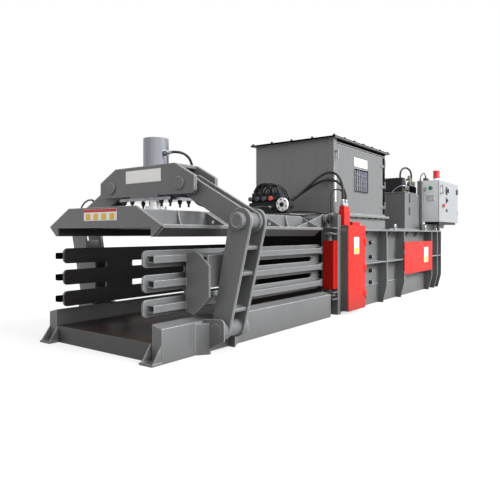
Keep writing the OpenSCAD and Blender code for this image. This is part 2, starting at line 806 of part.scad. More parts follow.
// Stiffeners of a side wall: three rails, two hexagonal ribs and the push box for the lever
module side_rails() {
  y0 = yo(551) + wall_t;
  y1 = y0 + rail_d;
  for (z = [for (f = finger_z) f + finger_h / 2])
    difference() {
      box([45, y0, z - rail_w / 2], [finger_end - 90, y1, z + rail_w / 2]);
      box([40, y0 + 7, z - rail_w / 2 + 7], [finger_end, y1 - 7, z + rail_w / 2 - 7]);
    }
  for (x = [425, 900])
    plate_x(x, 20) polygon([[y1 - 5, 372], [yo(739), 340], [yo(817), 403], [yo(922), 511], [yo(922), 780],
      [yo(812), 876], [yo(739), 905], [y1 - 5, 870]]);
  box([440, yo(880), 590], [905, yo(898), 870]);
  box([440, y1 - 5, 852], [905, yo(898), 870]);
  box([440, y1 - 5, 590], [905, yo(898), 608]);
}

module right_wall() {
  color(grey) place() right() side_wall();
}

module right_rails() {
  color(grey) place() right() side_rails();
}

module left_wall() {
  color(grey) place() side_wall();
}

module left_rails() {
  color(grey) place() side_rails();
}

// Hollow ram on the floor plate, open at the rear, with a blade bar and the rod socket
module ram_box() {
  b = floor_top + 0.4;
  color(dark) place() {
    box([ram_f, 5 - cw, b], [ram_f + 40, cw - 5, 1088]);
    box([ram_f - 22, 5 - cw, 1020], [ram_f, cw - 5, 1090]);
    box([ram_f + 35, 5 - cw, 1063], [ram_f + ram_len, cw - 5, 1088]);
    box([ram_f + 35, 5 - cw, b], [ram_f + ram_len, cw - 5, b + 20]);
    for (y = [5 - cw, cw - 25])
      box([ram_f + 35, y, b], [ram_f + ram_len, y + 20, 1088]);
    rod_x(ram_f + 35, 45, main_rod_d + 80, [0, 620]);
  }
}

module ram_rod() {
  color(steel) place() {
    rod_x(ram_f + 80, xr(7340) - ram_f - 80, main_rod_d, [0, 620]);
    rod_x(xr(7280), 90, main_barrel_d - 40 - 2 * fit, [0, 620]);
  }
}

// Door leaf in the near side of the hopper with a window opening and hinge straps
module hopper_door() {
  x0 = hop_f + 92;
  x1 = hop_r - 62;
  z1 = hopper_top - 84;
  color(grey) place() {
    difference() {
      box([x0, -hw - 2, 1362], [x1, -hw + 6, z1]);
      box([win_l, -hw - 10, win_b], [win_r, 10 - hw, win_t]);
    }
    for (z = hop_hinges)
      difference() {
        union() {
          box([x1 - 130, -hw - 10, z - 44], [x1, -hw - 1, z - 0.3]);
          box([x1 - 5, -hw - 23, z - 44], [hop_r - 38, -hw - 2, z - 0.3]);
          rod_z(z - 44, 43.7, 22, [hop_r - 38, -hw - 12]);
        }
        rod_z(z - 50, 60, 10 + 2 * fit, [hop_r - 38, -hw - 12]);
      }
    box([win_l - 11, -hw - 12, win_b - 11], [win_r + 11, -hw - 2, win_b]);
    box([win_l - 11, -hw - 12, win_t], [win_r + 11, -hw - 2, win_t + 11]);
    for (x = [win_l - 11, win_r])
      box([x, -hw - 12, win_b], [x + 11, -hw - 2, win_t]);
  }
}

// Window panel: frame bars that make six panes
module hopper_window() {
  color(black) place() {
    box([win_l, -hw - 1, win_b], [win_r, 4 - hw, win_t]);
    for (k = [145, 293])
      box([win_l + k * hop_s, -hw - 8, win_b], [win_l + k * hop_s + 10, -hw - 1, win_t]);
    box([win_l, -hw - 8, (win_b + win_t) / 2 - 5], [win_r, -hw - 1, (win_b + win_t) / 2 + 5]);
  }
}

// Turning latch on the corner angle
module hopper_latch() {
  color(steel) place() {
    rod_y(-hw - 45, 34.7, 30, [hop_f + 40, latch_z]);
    box([hop_f + 28, -hw - 57, latch_z - 110], [hop_f + 52, -hw - 45, latch_z + 20]);
  }
}

// Cabinet door with hinge knuckles and a fixed grip
module cabinet_door() {
  color(pale) place() {
    difference() {
      box([cab_x, door_y, cab_z], [cab_x + cab_len, door_y + 12, cab_z + cab_h]);
      for (p = [start_at, stop_at, switch_at])
        rod_y(door_y - 1, 14, 40, [cab_x + p[0], cab_z + p[1]]);
    }
    for (z = [cab_z + 180.3, cab_z + cab_h - 119.7]) {
      box([cab_x + cab_len - 60, door_y - 6, z], [cab_x + cab_len + 8, door_y, z + 50]);
      box([cab_x + cab_len + 2, door_y - 6, z], [cab_x + cab_len + 14, cab_front + 4, z + 50]);
      rod_z(z - 60, 61, 8, [cab_x + cab_len + 8, cab_front]);
    }
    for (z = [cab_z + 540, cab_z + 680])
      box([cab_x + 80, door_y - 40, z], [cab_x + 100, door_y, z + 20]);
    box([cab_x + 80, door_y - 55, cab_z + 530], [cab_x + 100, door_y - 40, cab_z + 710]);
  }
}

// Rotary switch: a knob on a shaft through the door
module main_switch() {
  color(black) place() {
    rod_y(door_y - 30, 44, 39.8, [cab_x + switch_at[0], cab_z + switch_at[1]]);
    rod_y(door_y - 18, 17.7, 90, [cab_x + switch_at[0], cab_z + switch_at[1]]);
    translate([cab_x + switch_at[0], door_y, cab_z + switch_at[1]]) box([-10, -46, -40], [10, -30, 40]);
  }
}

module emergency_stop() {
  color(red) place() {
    rod_y(door_y - 20, 34, 39.8, [cab_x + stop_at[0], cab_z + stop_at[1]]);
    rod_y(door_y - 42, 22, 76, [cab_x + stop_at[0], cab_z + stop_at[1]]);
  }
}

module start_button() {
  color(black) place() {
    rod_y(door_y - 16, 30, 39.8, [cab_x + start_at[0], cab_z + start_at[1]]);
    rod_y(door_y - 28, 12, 56, [cab_x + start_at[0], cab_z + start_at[1]]);
  }
}

// Red service door over the ribs, hung on its front edge
module service_door() {
  color(red) place() right() {
    box([xr(5362), yo(862), 380], [xr(6860), yo(870), 920]);
    for (z = [440, 780])
      difference() {
        union() {
          rod_z(z, 70, 18, [xr(5350), yo(871)]);
          box([xr(5350), yo(869), z], [xr(5420), yo(877), z + 70]);
        }
        rod_z(z - 1, 72, 8 + 2 * fit, [xr(5350), yo(871)]);
      }
  }
}

// Red door of the wire-tying unit, hung on its rear edge
module guard_door() {
  color(red) place() right() {
    box([box_x, guard_y + 0.3, 40], [guard_r - 1, guard_y + 8, 1165]);
    for (z = [200, 560, 920])
      difference() {
        union() {
          rod_z(z, 70, 18, [guard_r + 11, guard_y + 9]);
          box([guard_r - 53, guard_y + 7, z], [guard_r + 11, guard_y + 15, z + 70]);
        }
        rod_z(z - 1, 72, 8 + 2 * fit, [guard_r + 11, guard_y + 9]);
      }
  }
}

module hose_squeeze() {
  color(black) place() hose([for (p = squeeze_points) [xm(p[0]), p[1], p[2]]], [0.3, 1, 0.2]);
}

module hose_loop_a() {
  color(black) place() translate([xr(0), 0, 0]) hose(loop_a_route, [0.9, 0.4, 0]);
}

module hose_loop_b() {
  color(black) place() translate([xr(0), 0, 0]) hose(loop_b_route, [0.9, 0.4, 0]);
}

module hose_tank() {
  color(black) place() translate([xr(0), 0, 0]) hose(tank_route, [0.43, 0.9, 0]);
}

base_beams();
cross_members();
floor_plate();
anchor_feet();
lever_brackets();
pivot_pins();
press_wall_right();
press_wall_left();
portal_frame();
press_roof();
shear_blade();
rear_plate();
main_barrel();
hopper_shell();
oil_tank();
pump_motor();
tank_valves();
valve_manifold();
solenoid_valves();
return_filter();
hinge_guards();
tying_guard();
wire_twisters();
twister_motor();
wire_guides();
cabinet_stand();
cabinet_tray();
cabinet_shell();
beacon_lens();
lifting_eyes();
crosshead();
crosshead_pins();
squeeze_barrel();
squeeze_rod();
right_link();
left_link();
right_lever();
left_lever();
right_elbow_pin();
left_elbow_pin();
top_wall();
right_wall();
right_rails();
left_wall();
left_rails();
ram_box();
ram_rod();
hopper_door();
hopper_window();
hopper_latch();
cabinet_door();
main_switch();
emergency_stop();
start_button();
service_door();
guard_door();
hose_squeeze();
hose_loop_a();
hose_loop_b();
hose_tank();
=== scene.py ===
"""Looks of a horizontal hydraulic baling press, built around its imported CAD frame.

Lengths of the new pieces are millimetres counted from the exit face, as in the part's source, with +Y to the
far side and +Z up. The function mm turns them into metres in the shared frame.
"""

import math
from functools import partial

import bpy
import numpy as np
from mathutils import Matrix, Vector


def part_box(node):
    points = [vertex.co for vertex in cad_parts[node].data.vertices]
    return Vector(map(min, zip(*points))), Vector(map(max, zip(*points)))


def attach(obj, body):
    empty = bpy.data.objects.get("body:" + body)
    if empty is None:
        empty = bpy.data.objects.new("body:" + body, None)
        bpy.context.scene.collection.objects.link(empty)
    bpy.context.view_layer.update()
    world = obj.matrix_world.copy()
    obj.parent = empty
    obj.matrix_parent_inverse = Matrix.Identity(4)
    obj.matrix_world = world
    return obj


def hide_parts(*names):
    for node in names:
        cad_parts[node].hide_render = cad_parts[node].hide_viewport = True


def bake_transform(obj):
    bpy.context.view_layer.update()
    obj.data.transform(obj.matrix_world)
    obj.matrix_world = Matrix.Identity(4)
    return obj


bl_info = {
    "name": "Baling press looks",
    "version": (1, 0, 0),
    "blender": (4, 5, 0),
    "location": "View3D > Sidebar > Baler",
    "description": "Dresses the packed baling press with paint, bolts, plates and hoses",
    "category": "Object",
}

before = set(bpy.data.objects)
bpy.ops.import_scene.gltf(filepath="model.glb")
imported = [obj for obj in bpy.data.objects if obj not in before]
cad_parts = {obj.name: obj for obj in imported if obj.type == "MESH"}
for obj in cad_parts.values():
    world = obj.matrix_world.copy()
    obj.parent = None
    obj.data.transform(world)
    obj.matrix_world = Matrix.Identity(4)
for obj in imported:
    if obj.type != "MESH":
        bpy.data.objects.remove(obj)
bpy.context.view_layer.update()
EXIT_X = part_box("base_beams")[0].x
TURN = 2 * math.pi


def mm(points):
    """Millimetres from the exit face, as metres in the shared frame."""
    return np.asarray(points, float) / 1000 + np.array([EXIT_X, 0, 0])


def linear(code):
    """An sRGB hex colour as linear red, green, blue and alpha."""
    srgb = np.array([int(code[i:i + 2], 16) for i in (1, 3, 5)]) / 255
    rgb = np.where(srgb <= 0.04045, srgb / 12.92, ((srgb + 0.055) / 1.055) ** 2.4)
    return (*rgb.tolist(), 1.0)


def colour_property(label, words, code):
    """A colour that a user may change, written as sRGB hex."""
    return bpy.props.FloatVectorProperty(
        name=label, description=words, subtype="COLOR", size=4, min=0, max=1, default=linear(code))


def length_property(label, words, metres):
    """A length that a user may change."""
    return bpy.props.FloatProperty(name=label, description=words, unit="LENGTH", default=metres)


class BalerPaint(bpy.types.PropertyGroup):
    """Colours of the press."""

    body: colour_property("Body enamel", "Grey enamel of the plates and beams", "#6a6b6c")
    dark: colour_property("Dark enamel", "Darker enamel of the tying guard and the window bars", "#5b5755")
    signal: colour_property("Guard enamel", "Red enamel of the doors and hinge guards", "#c81d14")
    cabinet: colour_property("Cabinet coat", "Pale powder coat of the control cabinet", "#cbced2")
    chamber: colour_property("Chamber steel", "Bare worn steel inside the bale chamber", "#272426")
    hose: colour_property("Hose rubber", "Rubber cover of the hoses", "#17171a")
    plate: colour_property("Plate enamel", "White enamel of the blank plates", "#f3f2ef")


class BalerSizes(bpy.types.PropertyGroup):
    """Sizes of the small pieces."""

    bolt: length_property("Bolt", "Width across the flats of the flange bolts, in metres", 0.024)
    plate: length_property("Plate", "Thickness of the blank plates, in metres", 0.003)
    hose: length_property("Hose", "Outside diameter of the main hoses, in metres", 0.034)
    line: length_property("Valve hose", "Outside diameter of the short valve hoses, in metres", 0.020)
    weld: length_property("Weld", "Radius of the weld beads, in metres", 0.007)


class BalerStage(bpy.types.PropertyGroup):
    """Camera and light."""

    lens: bpy.props.FloatProperty(
        name="Lens", description="Focal length on a 36 mm sensor", subtype="DISTANCE_CAMERA", default=36.14)
    sun: bpy.props.FloatProperty(name="Sun", description="Strength of the soft side light", default=3.9)
    sky: bpy.props.FloatProperty(name="Sky", description="Strength of the even light from all round", default=1.05)
    floor: colour_property("Floor", "Pale studio floor", "#ececec")


# Surfaces


def basis(axis):
    """Two unit vectors square to the axis; together they make a right-handed set."""
    axis = np.asarray(axis, float) / np.linalg.norm(axis)
    helper = np.array([0.0, 0.0, 1.0]) if abs(axis[2]) < 0.9 else np.array([1.0, 0.0, 0.0])
    u = np.cross(helper, axis)
    u /= np.linalg.norm(u)
    return axis, u, np.cross(axis, u)


def lofted(rows):
    """A skin over closed rings, one ring a row, with a flat cap at each end: points, and faces in blocks of a kind."""
    n, m = rows.shape[:2]
    i, j = np.arange(n - 1)[:, None] * m, np.arange(m)[None]
    k = (j + 1) % m
    quads = np.stack([i + j, i + k, i + m + k, i + m + j], -1).reshape(-1, 4)
    caps = np.stack([np.arange(m)[::-1], np.arange((n - 1) * m, n * m)])
    return rows.reshape(-1, 3), [quads, caps]


def turned(profile, centre, axis, steps=32, flats=0):
    """A profile of (radius, height) turned about an axis: P(t, a) = c + h axis + r (cos a u + sin a v).
    With flats, the radius is half the width across a regular polygon: r / cos((a mod s) - s / 2)."""
    profile = np.asarray(profile, float) / 1000
    axis, u, v = basis(axis)
    a = np.arange(steps) * TURN / steps
    reach = np.ones(steps) if not flats else 1 / np.cos(a % (TURN / flats) - TURN / flats / 2)
    ring = np.cos(a)[:, None] * u + np.sin(a)[:, None] * v
    rows = profile[:, 0, None, None] * (reach[:, None] * ring)[None] + profile[:, 1, None, None] * axis
    return lofted(rows + mm(centre))


def bolt(centre, axis, flats, washer=True, height=0.65):
    """A hexagon head with its top edge turned off, on a round washer, in shares of the width across the flats.
    The seat is at the centre."""
    f = flats / 2
    base = flats * 0.12 if washer else 0
    head = base + flats * height
    parts = [turned([(f, base), (f, head - flats * 0.07), (f * 0.86, head)], centre, axis, 12, 6)]
    if washer:
        parts.append(turned([(f * 1.45, 0), (f * 1.45, base * 0.8), (f * 1.35, base)], centre, axis, 16))
    return parts


def bolts(points, axis, flats):
    """A bolt on its washer at every point."""
    return [part for p in points for part in bolt(p, axis, flats)]


def outline(low, high, corner, inset, arc):
    """A rounded rectangle, drawn in from its edge by an inset: quarter circles about four centres."""
    low, high = np.asarray(low, float), np.asarray(high, float)
    corner = min(corner, *(0.499 * (high - low)))
    a = np.linspace(0, TURN / 4, arc + 1)
    quarter = np.stack([np.cos(a), np.sin(a)], -1) * max(corner - inset, 0.02)
    turns = [np.array([[c, -s], [s, c]]) for c, s in ((1, 0), (0, 1), (-1, 0), (0, -1))]
    mids = [(high[0], high[1]), (low[0], high[1]), (low[0], low[1]), (high[0], low[1])]
    signs = [(-1, -1), (1, -1), (1, 1), (-1, 1)]
    hold = max(corner, inset + 0.02)
    return np.concatenate([quarter @ t.T + np.array(c) + hold * np.array(s) for t, c, s in zip(turns, mids, signs)])


def slab(low, high, axis, corner=4.0, bevel=1.5, arc=4):
    """A plate with rounded corners and bevelled edges: its outline carried along an axis, drawn in at both ends."""
    low, high = np.asarray(low, float), np.asarray(high, float)
    p, q = (axis + 1) % 3, (axis + 2) % 3
    bevel = min(bevel, 0.45 * (high[axis] - low[axis]))
    steps = [(low[axis], bevel), (low[axis] + bevel, 0), (high[axis] - bevel, 0), (high[axis], bevel)]
    rows = []
    for along, inset in steps:
        flat = outline((low[p], low[q]), (high[p], high[q]), corner, inset, arc)
        ring = np.empty((len(flat), 3))
        ring[:, p], ring[:, q], ring[:, axis] = flat[:, 0], flat[:, 1], along
        rows.append(ring)
    return lofted(mm(np.array(rows)))


def prism(flat, axis, start, end):
    """A closed outline, drawn counter-clockwise in the two axes after the given one, carried straight along it."""
    flat = np.asarray(flat, float)
    rows = np.empty((2, len(flat), 3))
    rows[:, :, (axis + 1) % 3], rows[:, :, (axis + 2) % 3] = flat[:, 0], flat[:, 1]
    rows[0, :, axis], rows[1, :, axis] = start, end
    return lofted(mm(rows))


def smooth(points, per=6):
    """A Catmull-Rom curve through the points: each span is the cubic of its four nearest points."""
    p = np.asarray(points, float)
    p = np.concatenate([[2 * p[0] - p[1]], p, [2 * p[-1] - p[-2]]])
    s = np.arange(per)[None, :, None] / per
    a, b, c, d = (p[i:len(p) - 3 + i, None] for i in range(4))
    curve = 0.5 * (2 * b + (c - a) * s + (2 * a - 5 * b + 4 * c - d) * s ** 2 + (3 * b - 3 * c + d - a) * s ** 3)
    return np.concatenate([curve.reshape(-1, 3), p[-2:-1]])


def arch(start, end, rise, count=21):
    """A half ellipse between two points: cos a carries it across and sin a lifts it."""
    a = np.linspace(0, math.pi, count)[:, None]
    start, end = np.asarray(start, float), np.asarray(end, float)
    return start + (end - start) * (1 - np.cos(a)) / 2 + np.sin(a) * np.array([0, 0, rise])


def hoop(start, end, top):
    """A rise, a half circle and a fall between two points: the hose stands up, goes over at the top and comes down."""
    start, end = np.asarray(start, float), np.asarray(end, float)
    across = (end - start) * [1, 1, 0] / 2
    r = np.linalg.norm(across)
    a = np.linspace(0, math.pi, 17)[:, None]
    over = start * [1, 1, 0] + across * (1 - np.cos(a)) + [0, 0, top - r] + np.sin(a) * [0, 0, r]
    rise = np.linspace(0, 1, 5)[:-1, None]
    return np.concatenate([start + rise * (over[0] - start), over, end + (over[-1] - end) * (1 - rise[1:]), [end]])


def tube(path, radius, guide, steps=14):
    """A circle carried along a path in metres, turned to the path by a fixed guide direction; radius may vary."""
    t = np.gradient(path, axis=0)
    t /= np.linalg.norm(t, axis=1)[:, None]
    u = np.cross(t, np.asarray(guide, float))
    u /= np.linalg.norm(u, axis=1)[:, None]
    v = np.cross(t, u)
    a = (np.arange(steps) * TURN / steps)[None, :, None]
    radius = np.broadcast_to(np.asarray(radius, float), (len(path),))[:, None, None]
    return lofted(path[:, None] + radius * (np.cos(a) * u[:, None] + np.sin(a) * v[:, None]))


def ring(centre, axis, radius, thick, steps=32, around=12):
    """A closed ring of round bar: P(a, b) = c + (R + r cos b)(cos a u + sin a v) - r sin b axis."""
    axis, u, v = basis(axis)
    a = (np.arange(steps) * TURN / steps)[:, None, None]
    b = (np.arange(around) * TURN / around)[None, :, None]
    rows = (radius + thick * np.cos(b)) * (np.cos(a) * u + np.sin(a) * v) - thick * np.sin(b) * axis
    i, j = np.arange(steps)[:, None] * around, np.arange(around)[None]
    k, after = (j + 1) % around, (i + around) % (steps * around)
    quads = np.stack([i + j, i + k, after + k, after + j], -1).reshape(-1, 4)
    return rows.reshape(-1, 3) / 1000 + mm(centre), [quads]


def bead(points, radius, guide):
    """A weld bead: a tube whose radius swells once in every three radii, as the ripples of a run do."""
    p = mm(points)
    length = np.linalg.norm(np.diff(p, axis=0), axis=1)
    count = max(8, int(length.sum() / (radius * 1.2)))
    along = np.concatenate([[0], np.cumsum(length)])
    s = np.linspace(0, along[-1], count)
    path = np.stack([np.interp(s, along, p[:, k]) for k in range(3)], -1)
    return tube(path, radius * (1 + 0.16 * np.sin(TURN * np.arange(count) / 4)), guide, 6)


# Edges of new pieces that turn by more than this angle are shaded sharp
SHARP_EDGE = math.radians(38)


def piece(name, parts, finish, body="frame", along=None):
    """Joins surfaces into one mesh, gives it a finish and its slot, and lets it ride on a body."""
    points, faces, base = [], [], 0
    for p, blocks in parts:
        points.append(p)
        faces += [face for block in blocks for face in (block + base).tolist()]
        base += len(p)
    points = np.concatenate(points)
    mesh = bpy.data.meshes.new(name)
    mesh.from_pydata(points.tolist(), [], faces)
    mesh.polygons.foreach_set("use_smooth", np.ones(len(faces), bool))
    mesh.set_sharp_from_angle(angle=SHARP_EDGE)
    if along is not None:
        corner = np.empty(len(mesh.loops), np.int32)
        mesh.loops.foreach_get("vertex_index", corner)
        mesh.uv_layers.new(name="along").data.foreach_set("uv", along[corner].astype(np.float32).ravel())
    made = bpy.data.objects.new(name, mesh)
    bpy.context.scene.collection.objects.link(made)
    mesh.materials.append(bpy.data.materials[finish])
    if body:
        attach(made, body)
    return made


# Finishes

# Sockets that go by number: the two colours of a Mix, and the two ranges of a Map Range
MIX_A, MIX_B = 6, 7
IN_MIN, IN_MAX, OUT_MIN, OUT_MAX = 1, 2, 3, 4
# The output that a kind of node is used for, by name or number, and a setting that it always has
RESULT = {"TexNoise": "Fac", "TexWave": "Fac", "UVMap": "UV", "Mapping": "Vector", "MapRange": "Result", "Mix": 2,
          "Math": 0, "VectorMath": "Value", "NewGeometry": "Normal", "Bevel": "Normal", "Bump": "Normal",
          "BsdfPrincipled": 0, "BsdfDiffuse": 0, "Emission": 0, "Background": 0, "MixShader": 0}
ALWAYS = {"Mix": {"data_type": "RGBA"}}


def add(tree, kind, sockets=None, **settings):
    """Adds one node with its settings and gives its result, or the node where it has no single one. A socket takes
    a value or a link."""
    made = tree.nodes.new("ShaderNode" + kind)
    for key, value in {**ALWAYS.get(kind, {}), **settings}.items():
        setattr(made, key, value)
    for key, value in (sockets or {}).items():
        if isinstance(value, bpy.types.NodeSocket):
            tree.links.new(value, made.inputs[key])
        else:
            made.inputs[key].default_value = value
    return made.outputs[RESULT[kind]] if kind in RESULT else made


def shade(colour, factor):
    """A linear colour made lighter or darker."""
    return tuple(min(1.0, c * factor) for c in colour[:3]) + (1.0,)


def per_metre(*sizes):
    """Scales of a pattern, from the sizes in millimetres of what it draws: one for all axes, or one for each."""
    scales = tuple(1000 / size for size in sizes)
    return scales if len(scales) > 1 else scales[0]


def begin(name):
    """An empty material: what adds nodes to it, and its object coordinates."""
    made = bpy.data.materials.new(name)
    made.use_nodes = True
    made.node_tree.nodes.clear()
    node = partial(add, made.node_tree)
    return node, node("TexCoord").outputs["Object"]


def end(node, sockets):
    """Joins the surface shader to the output."""
    node("OutputMaterial", {"Surface": node("BsdfPrincipled", sockets)})


def scratches(node, place):
    """Long scratches along the machine, where bales slide: 1 mm wide, drawn at 18 mm so that they show."""
    lines = node("Mapping", {"Vector": place, "Scale": per_metre(769, 18.18, 18.18)})
    return node("TexNoise", {"Vector": lines, "Scale": 1.0, "Detail": 6.0})


def enamel(name, colour, rough=0.42, grime=0.35, edge_wear_and_highlight=None, inside=None, chamber=None, shine=0.5, holes=None):
    """Sprayed enamel on steel plate. The eye sees a satin coat with broad uneven tone (0.6 m patches), partly paint and
    partly painted soft sheen, faint dust runs down the sides (80 mm wide), lighter edges that are partly rubbed paint
    and partly a painted highlight, and a fine orange peel, drawn at 6 mm so that it shows.
    Darker over the lowest 300 mm towards the floor: painted shade of the low faces, with some floor dirt. With inside,
    the faces that look that way have lost their paint to the bales and show scraped steel. With holes, the sheet is
    punched with dark holes at that pitch in metres."""
    node, place = begin(name)
    # Broad tone in 0.6 m patches: partly uneven paint and partly painted soft sheen
    broad = node("TexNoise", {"Vector": place, "Scale": per_metre(588), "Detail": 4.0, "Roughness": 0.55})
    tone = node("Mix", {"Factor": broad, MIX_A: shade(colour, 0.82), MIX_B: shade(colour, 1.18)})
    # Dust runs
    runs = node("Mapping", {"Vector": place, "Scale": per_metre(83.3, 83.3, 714)})
    streak = node("TexNoise", {"Vector": runs, "Scale": 1.0, "Detail": 5.0, "Roughness": 0.6})
    dust = node("MapRange", {"Value": streak, IN_MIN: 0.52, IN_MAX: 0.75, OUT_MAX: grime})
    coat = node("Mix", {"Factor": dust, MIX_A: tone, MIX_B: shade(colour, 0.66)})
    # Lighter edges, partly rubbed paint and partly a painted highlight: where the rounded normal leaves the face's own,
    # broken up by 36 mm chips
    bevel = node("Bevel", {"Radius": 0.013}, samples=4)
    face = node("NewGeometry")
    meet = node("VectorMath", {0: bevel, 1: face}, operation="DOT_PRODUCT")
    chips = node("TexNoise", {"Vector": place, "Scale": per_metre(35.7), "Detail": 3.0})
    chips = node("MapRange", {"Value": chips, IN_MIN: 0.3, IN_MAX: 0.6, OUT_MIN: 0.35})
    edge = node("MapRange", {"Value": meet, IN_MIN: 0.995, IN_MAX: 0.85, OUT_MAX: 0.9})
    wear_and_highlight = node("Math", {0: edge, 1: chips}, operation="MULTIPLY")
    coat = node("Mix", {"Factor": wear_and_highlight, MIX_A: coat, MIX_B: edge_wear_and_highlight or shade(colour, 4.0)})
    # Darker towards the floor: painted shade of the low faces, with some floor dirt
    spot = node("SeparateXYZ", {0: place}).outputs
    low = node("MapRange", {"Value": spot["Z"], IN_MAX: 0.30, OUT_MIN: 0.42, OUT_MAX: 0.0})
    coat = node("Mix", {"Factor": low, MIX_A: coat, MIX_B: linear("#2e2b27")})
    if holes:
        across = node("Math", {0: spot["X"], 1: spot["Y"]}, operation="ADD")
        turns = [node("Math", {0: line, 1: TURN / holes}, operation="MULTIPLY") for line in (across, spot["Z"])]
        waves = [node("Math", {0: turn}, operation="SINE") for turn in turns]
        grid = node("Math", {0: waves[0], 1: waves[1]}, operation="MULTIPLY")
        punched = node("MapRange", {"Value": grid, IN_MIN: 0.45, IN_MAX: 0.6, OUT_MAX: 0.8})
        coat = node("Mix", {"Factor": punched, MIX_A: coat, MIX_B: shade(colour, 0.12)})
    if inside is not None:
        local = node("TexCoord").outputs["Normal"]
        facing = node("VectorMath", {0: local, 1: inside}, operation="DOT_PRODUCT")
        bared = node("MapRange", {"Value": facing, IN_MIN: 0.6, IN_MAX: 0.8})
        wear_and_highlight = scratches(node, place)
        steel = node("Mix", {"Factor": wear_and_highlight, MIX_A: shade(chamber, 0.55), MIX_B: shade(chamber, 1.8)})
        coat = node("Mix", {"Factor": bared, MIX_A: coat, MIX_B: steel})
    satin = node("MapRange", {"Value": broad, IN_MIN: 0.3, IN_MAX: 0.7, OUT_MIN: rough - 0.06, OUT_MAX: rough + 0.09})
    peel = node("TexNoise", {"Vector": place, "Scale": per_metre(6.25), "Detail": 2.0})
    bump = node("Bump", {"Strength": 0.10, "Distance": 0.001, "Height": peel, "Normal": bevel})
    end(node, {"Base Color": coat, "Roughness": satin, "Normal": bump, "Specular IOR Level": shine})


def scraped(name, colour):
    """Bare steel plate polished and scored by moving bales: long scratches over dark mill scale, with brown rust
    bloom in 0.4 m patches."""
    node, place = begin(name)
    scrape = scratches(node, place)
    patch = node("TexNoise", {"Vector": place, "Scale": per_metre(417), "Detail": 5.0})
    steel = node("Mix", {"Factor": scrape, MIX_A: shade(colour, 0.6), MIX_B: shade(colour, 1.9)})
    bloom = node("MapRange", {"Value": patch, IN_MIN: 0.42, IN_MAX: 0.66, OUT_MAX: 0.8})
    rust = node("Mix", {"Factor": bloom, MIX_A: steel, MIX_B: linear("#51392b")})
    gloss = node("MapRange", {"Value": scrape, OUT_MIN: 0.26, OUT_MAX: 0.55})
    bump = node("Bump", {"Strength": 0.12, "Distance": 0.001, "Height": scrape})
    end(node, {"Base Color": rust, "Roughness": gloss, "Metallic": 0.35, "Normal": bump})


def metal(name, code, rough, grain=(33.33, 33.33, 2000), depth=0.25):
    """Machined, drawn or plated steel: full metal with fine tool lines or spangle, drawn at the sizes of the grain in
    millimetres so that they show, that lift and drop the tone by the depth and the gloss a little. A deep grain paints
    reflection bands."""
    node, place = begin(name)
    lines = node("Mapping", {"Vector": place, "Scale": per_metre(*grain)})
    drawn = node("TexNoise", {"Vector": lines, "Scale": 1.0, "Detail": 4.0})
    colour = linear(code)
    tone = node("Mix", {"Factor": drawn, MIX_A: shade(colour, 1 - depth), MIX_B: shade(colour, 1 + depth)})
    gloss = node("MapRange", {"Value": drawn, OUT_MIN: rough * 0.75, OUT_MAX: rough * 1.3})
    end(node, {"Base Color": tone, "Roughness": gloss, "Metallic": 1.0})


def moulded(name, colour, rough, speck=11.11, coat=0.0, clear=0.0, shine=0.5):
    """Moulded plastic, smooth rubber or glass: even colour with a faint cloud of tone (0.1 m) and a fine spark-eroded
    texture, drawn at the speck's size in millimetres so that it shows."""
    node, place = begin(name)
    cloud = node("TexNoise", {"Vector": place, "Scale": per_metre(111), "Detail": 3.0})
    tone = node("Mix", {"Factor": cloud, MIX_A: shade(colour, 0.86), MIX_B: shade(colour, 1.14)})
    grain = node("TexNoise", {"Vector": place, "Scale": per_metre(speck), "Detail": 2.0})
    bump = node("Bump", {"Strength": 0.10, "Distance": 0.001, "Height": grain})
    end(node, {"Base Color": tone, "Roughness": rough, "Normal": bump, "Coat Weight": coat,
               "Transmission Weight": clear, "Specular IOR Level": shine})


def wrapped_rubber(name, colour):
    """Hydraulic hose cover: black rubber cured under a cloth wrap, whose turns leave a ridge every 8 mm, drawn at
    32 mm so that it shows. It reads the hose's own length coordinate, of which a Wave has 20 / TURN bands a unit."""
    node, place = begin(name)
    along = node("UVMap", uv_map="along")
    wave = node("TexWave", {"Vector": along, "Scale": TURN / 20 * per_metre(31.84), "Distortion": 0.4, "Detail": 1.0},
                wave_type="BANDS", bands_direction="Y")
    cloud = node("TexNoise", {"Vector": place, "Scale": per_metre(71.4), "Detail": 3.0})
    tone = node("Mix", {"Factor": cloud, MIX_A: shade(colour, 0.75), MIX_B: shade(colour, 1.5)})
    bump = node("Bump", {"Strength": 0.35, "Distance": 0.0015, "Height": wave})
    end(node, {"Base Color": tone, "Roughness": 0.5, "Normal": bump})


FINISH_OF_NODES = {
    "shaded_enamel": "cross_members",
    "hopper_enamel": "hopper_shell",
    "grey_enamel": "base_beams anchor_feet lever_brackets portal_frame press_roof rear_plate cabinet_stand "
                   "oil_tank crosshead right_link left_link right_lever left_lever right_rails "
                   "left_rails hopper_door crosshead_pins pivot_pins right_elbow_pin left_elbow_pin",
    "wall_enamel_right": "right_wall press_wall_right",
    "wall_enamel_left": "left_wall press_wall_left",
    "roof_enamel": "top_wall",
    "dark_enamel": "tying_guard main_barrel",
    "black_enamel": "pump_motor cabinet_tray wire_guides solenoid_valves valve_manifold return_filter",
    "red_enamel": "service_door guard_door twister_motor",
    "punched_red_enamel": "hinge_guards",
    "cabinet_coat": "cabinet_shell",
    "door_coat": "cabinet_door",
    "scraped_steel": "floor_plate ram_box",
    "drawn_barrel": "squeeze_barrel",
    "machined_steel": "shear_blade wire_twisters lifting_eyes hopper_latch",
    "cast_aluminium": "tank_valves",
    "chromed_rod": "squeeze_rod ram_rod",
    "black_plastic": "main_switch start_button",
    "red_plastic": "emergency_stop",
    "red_lens": "beacon_lens",
    "wired_glass": "hopper_window",
}


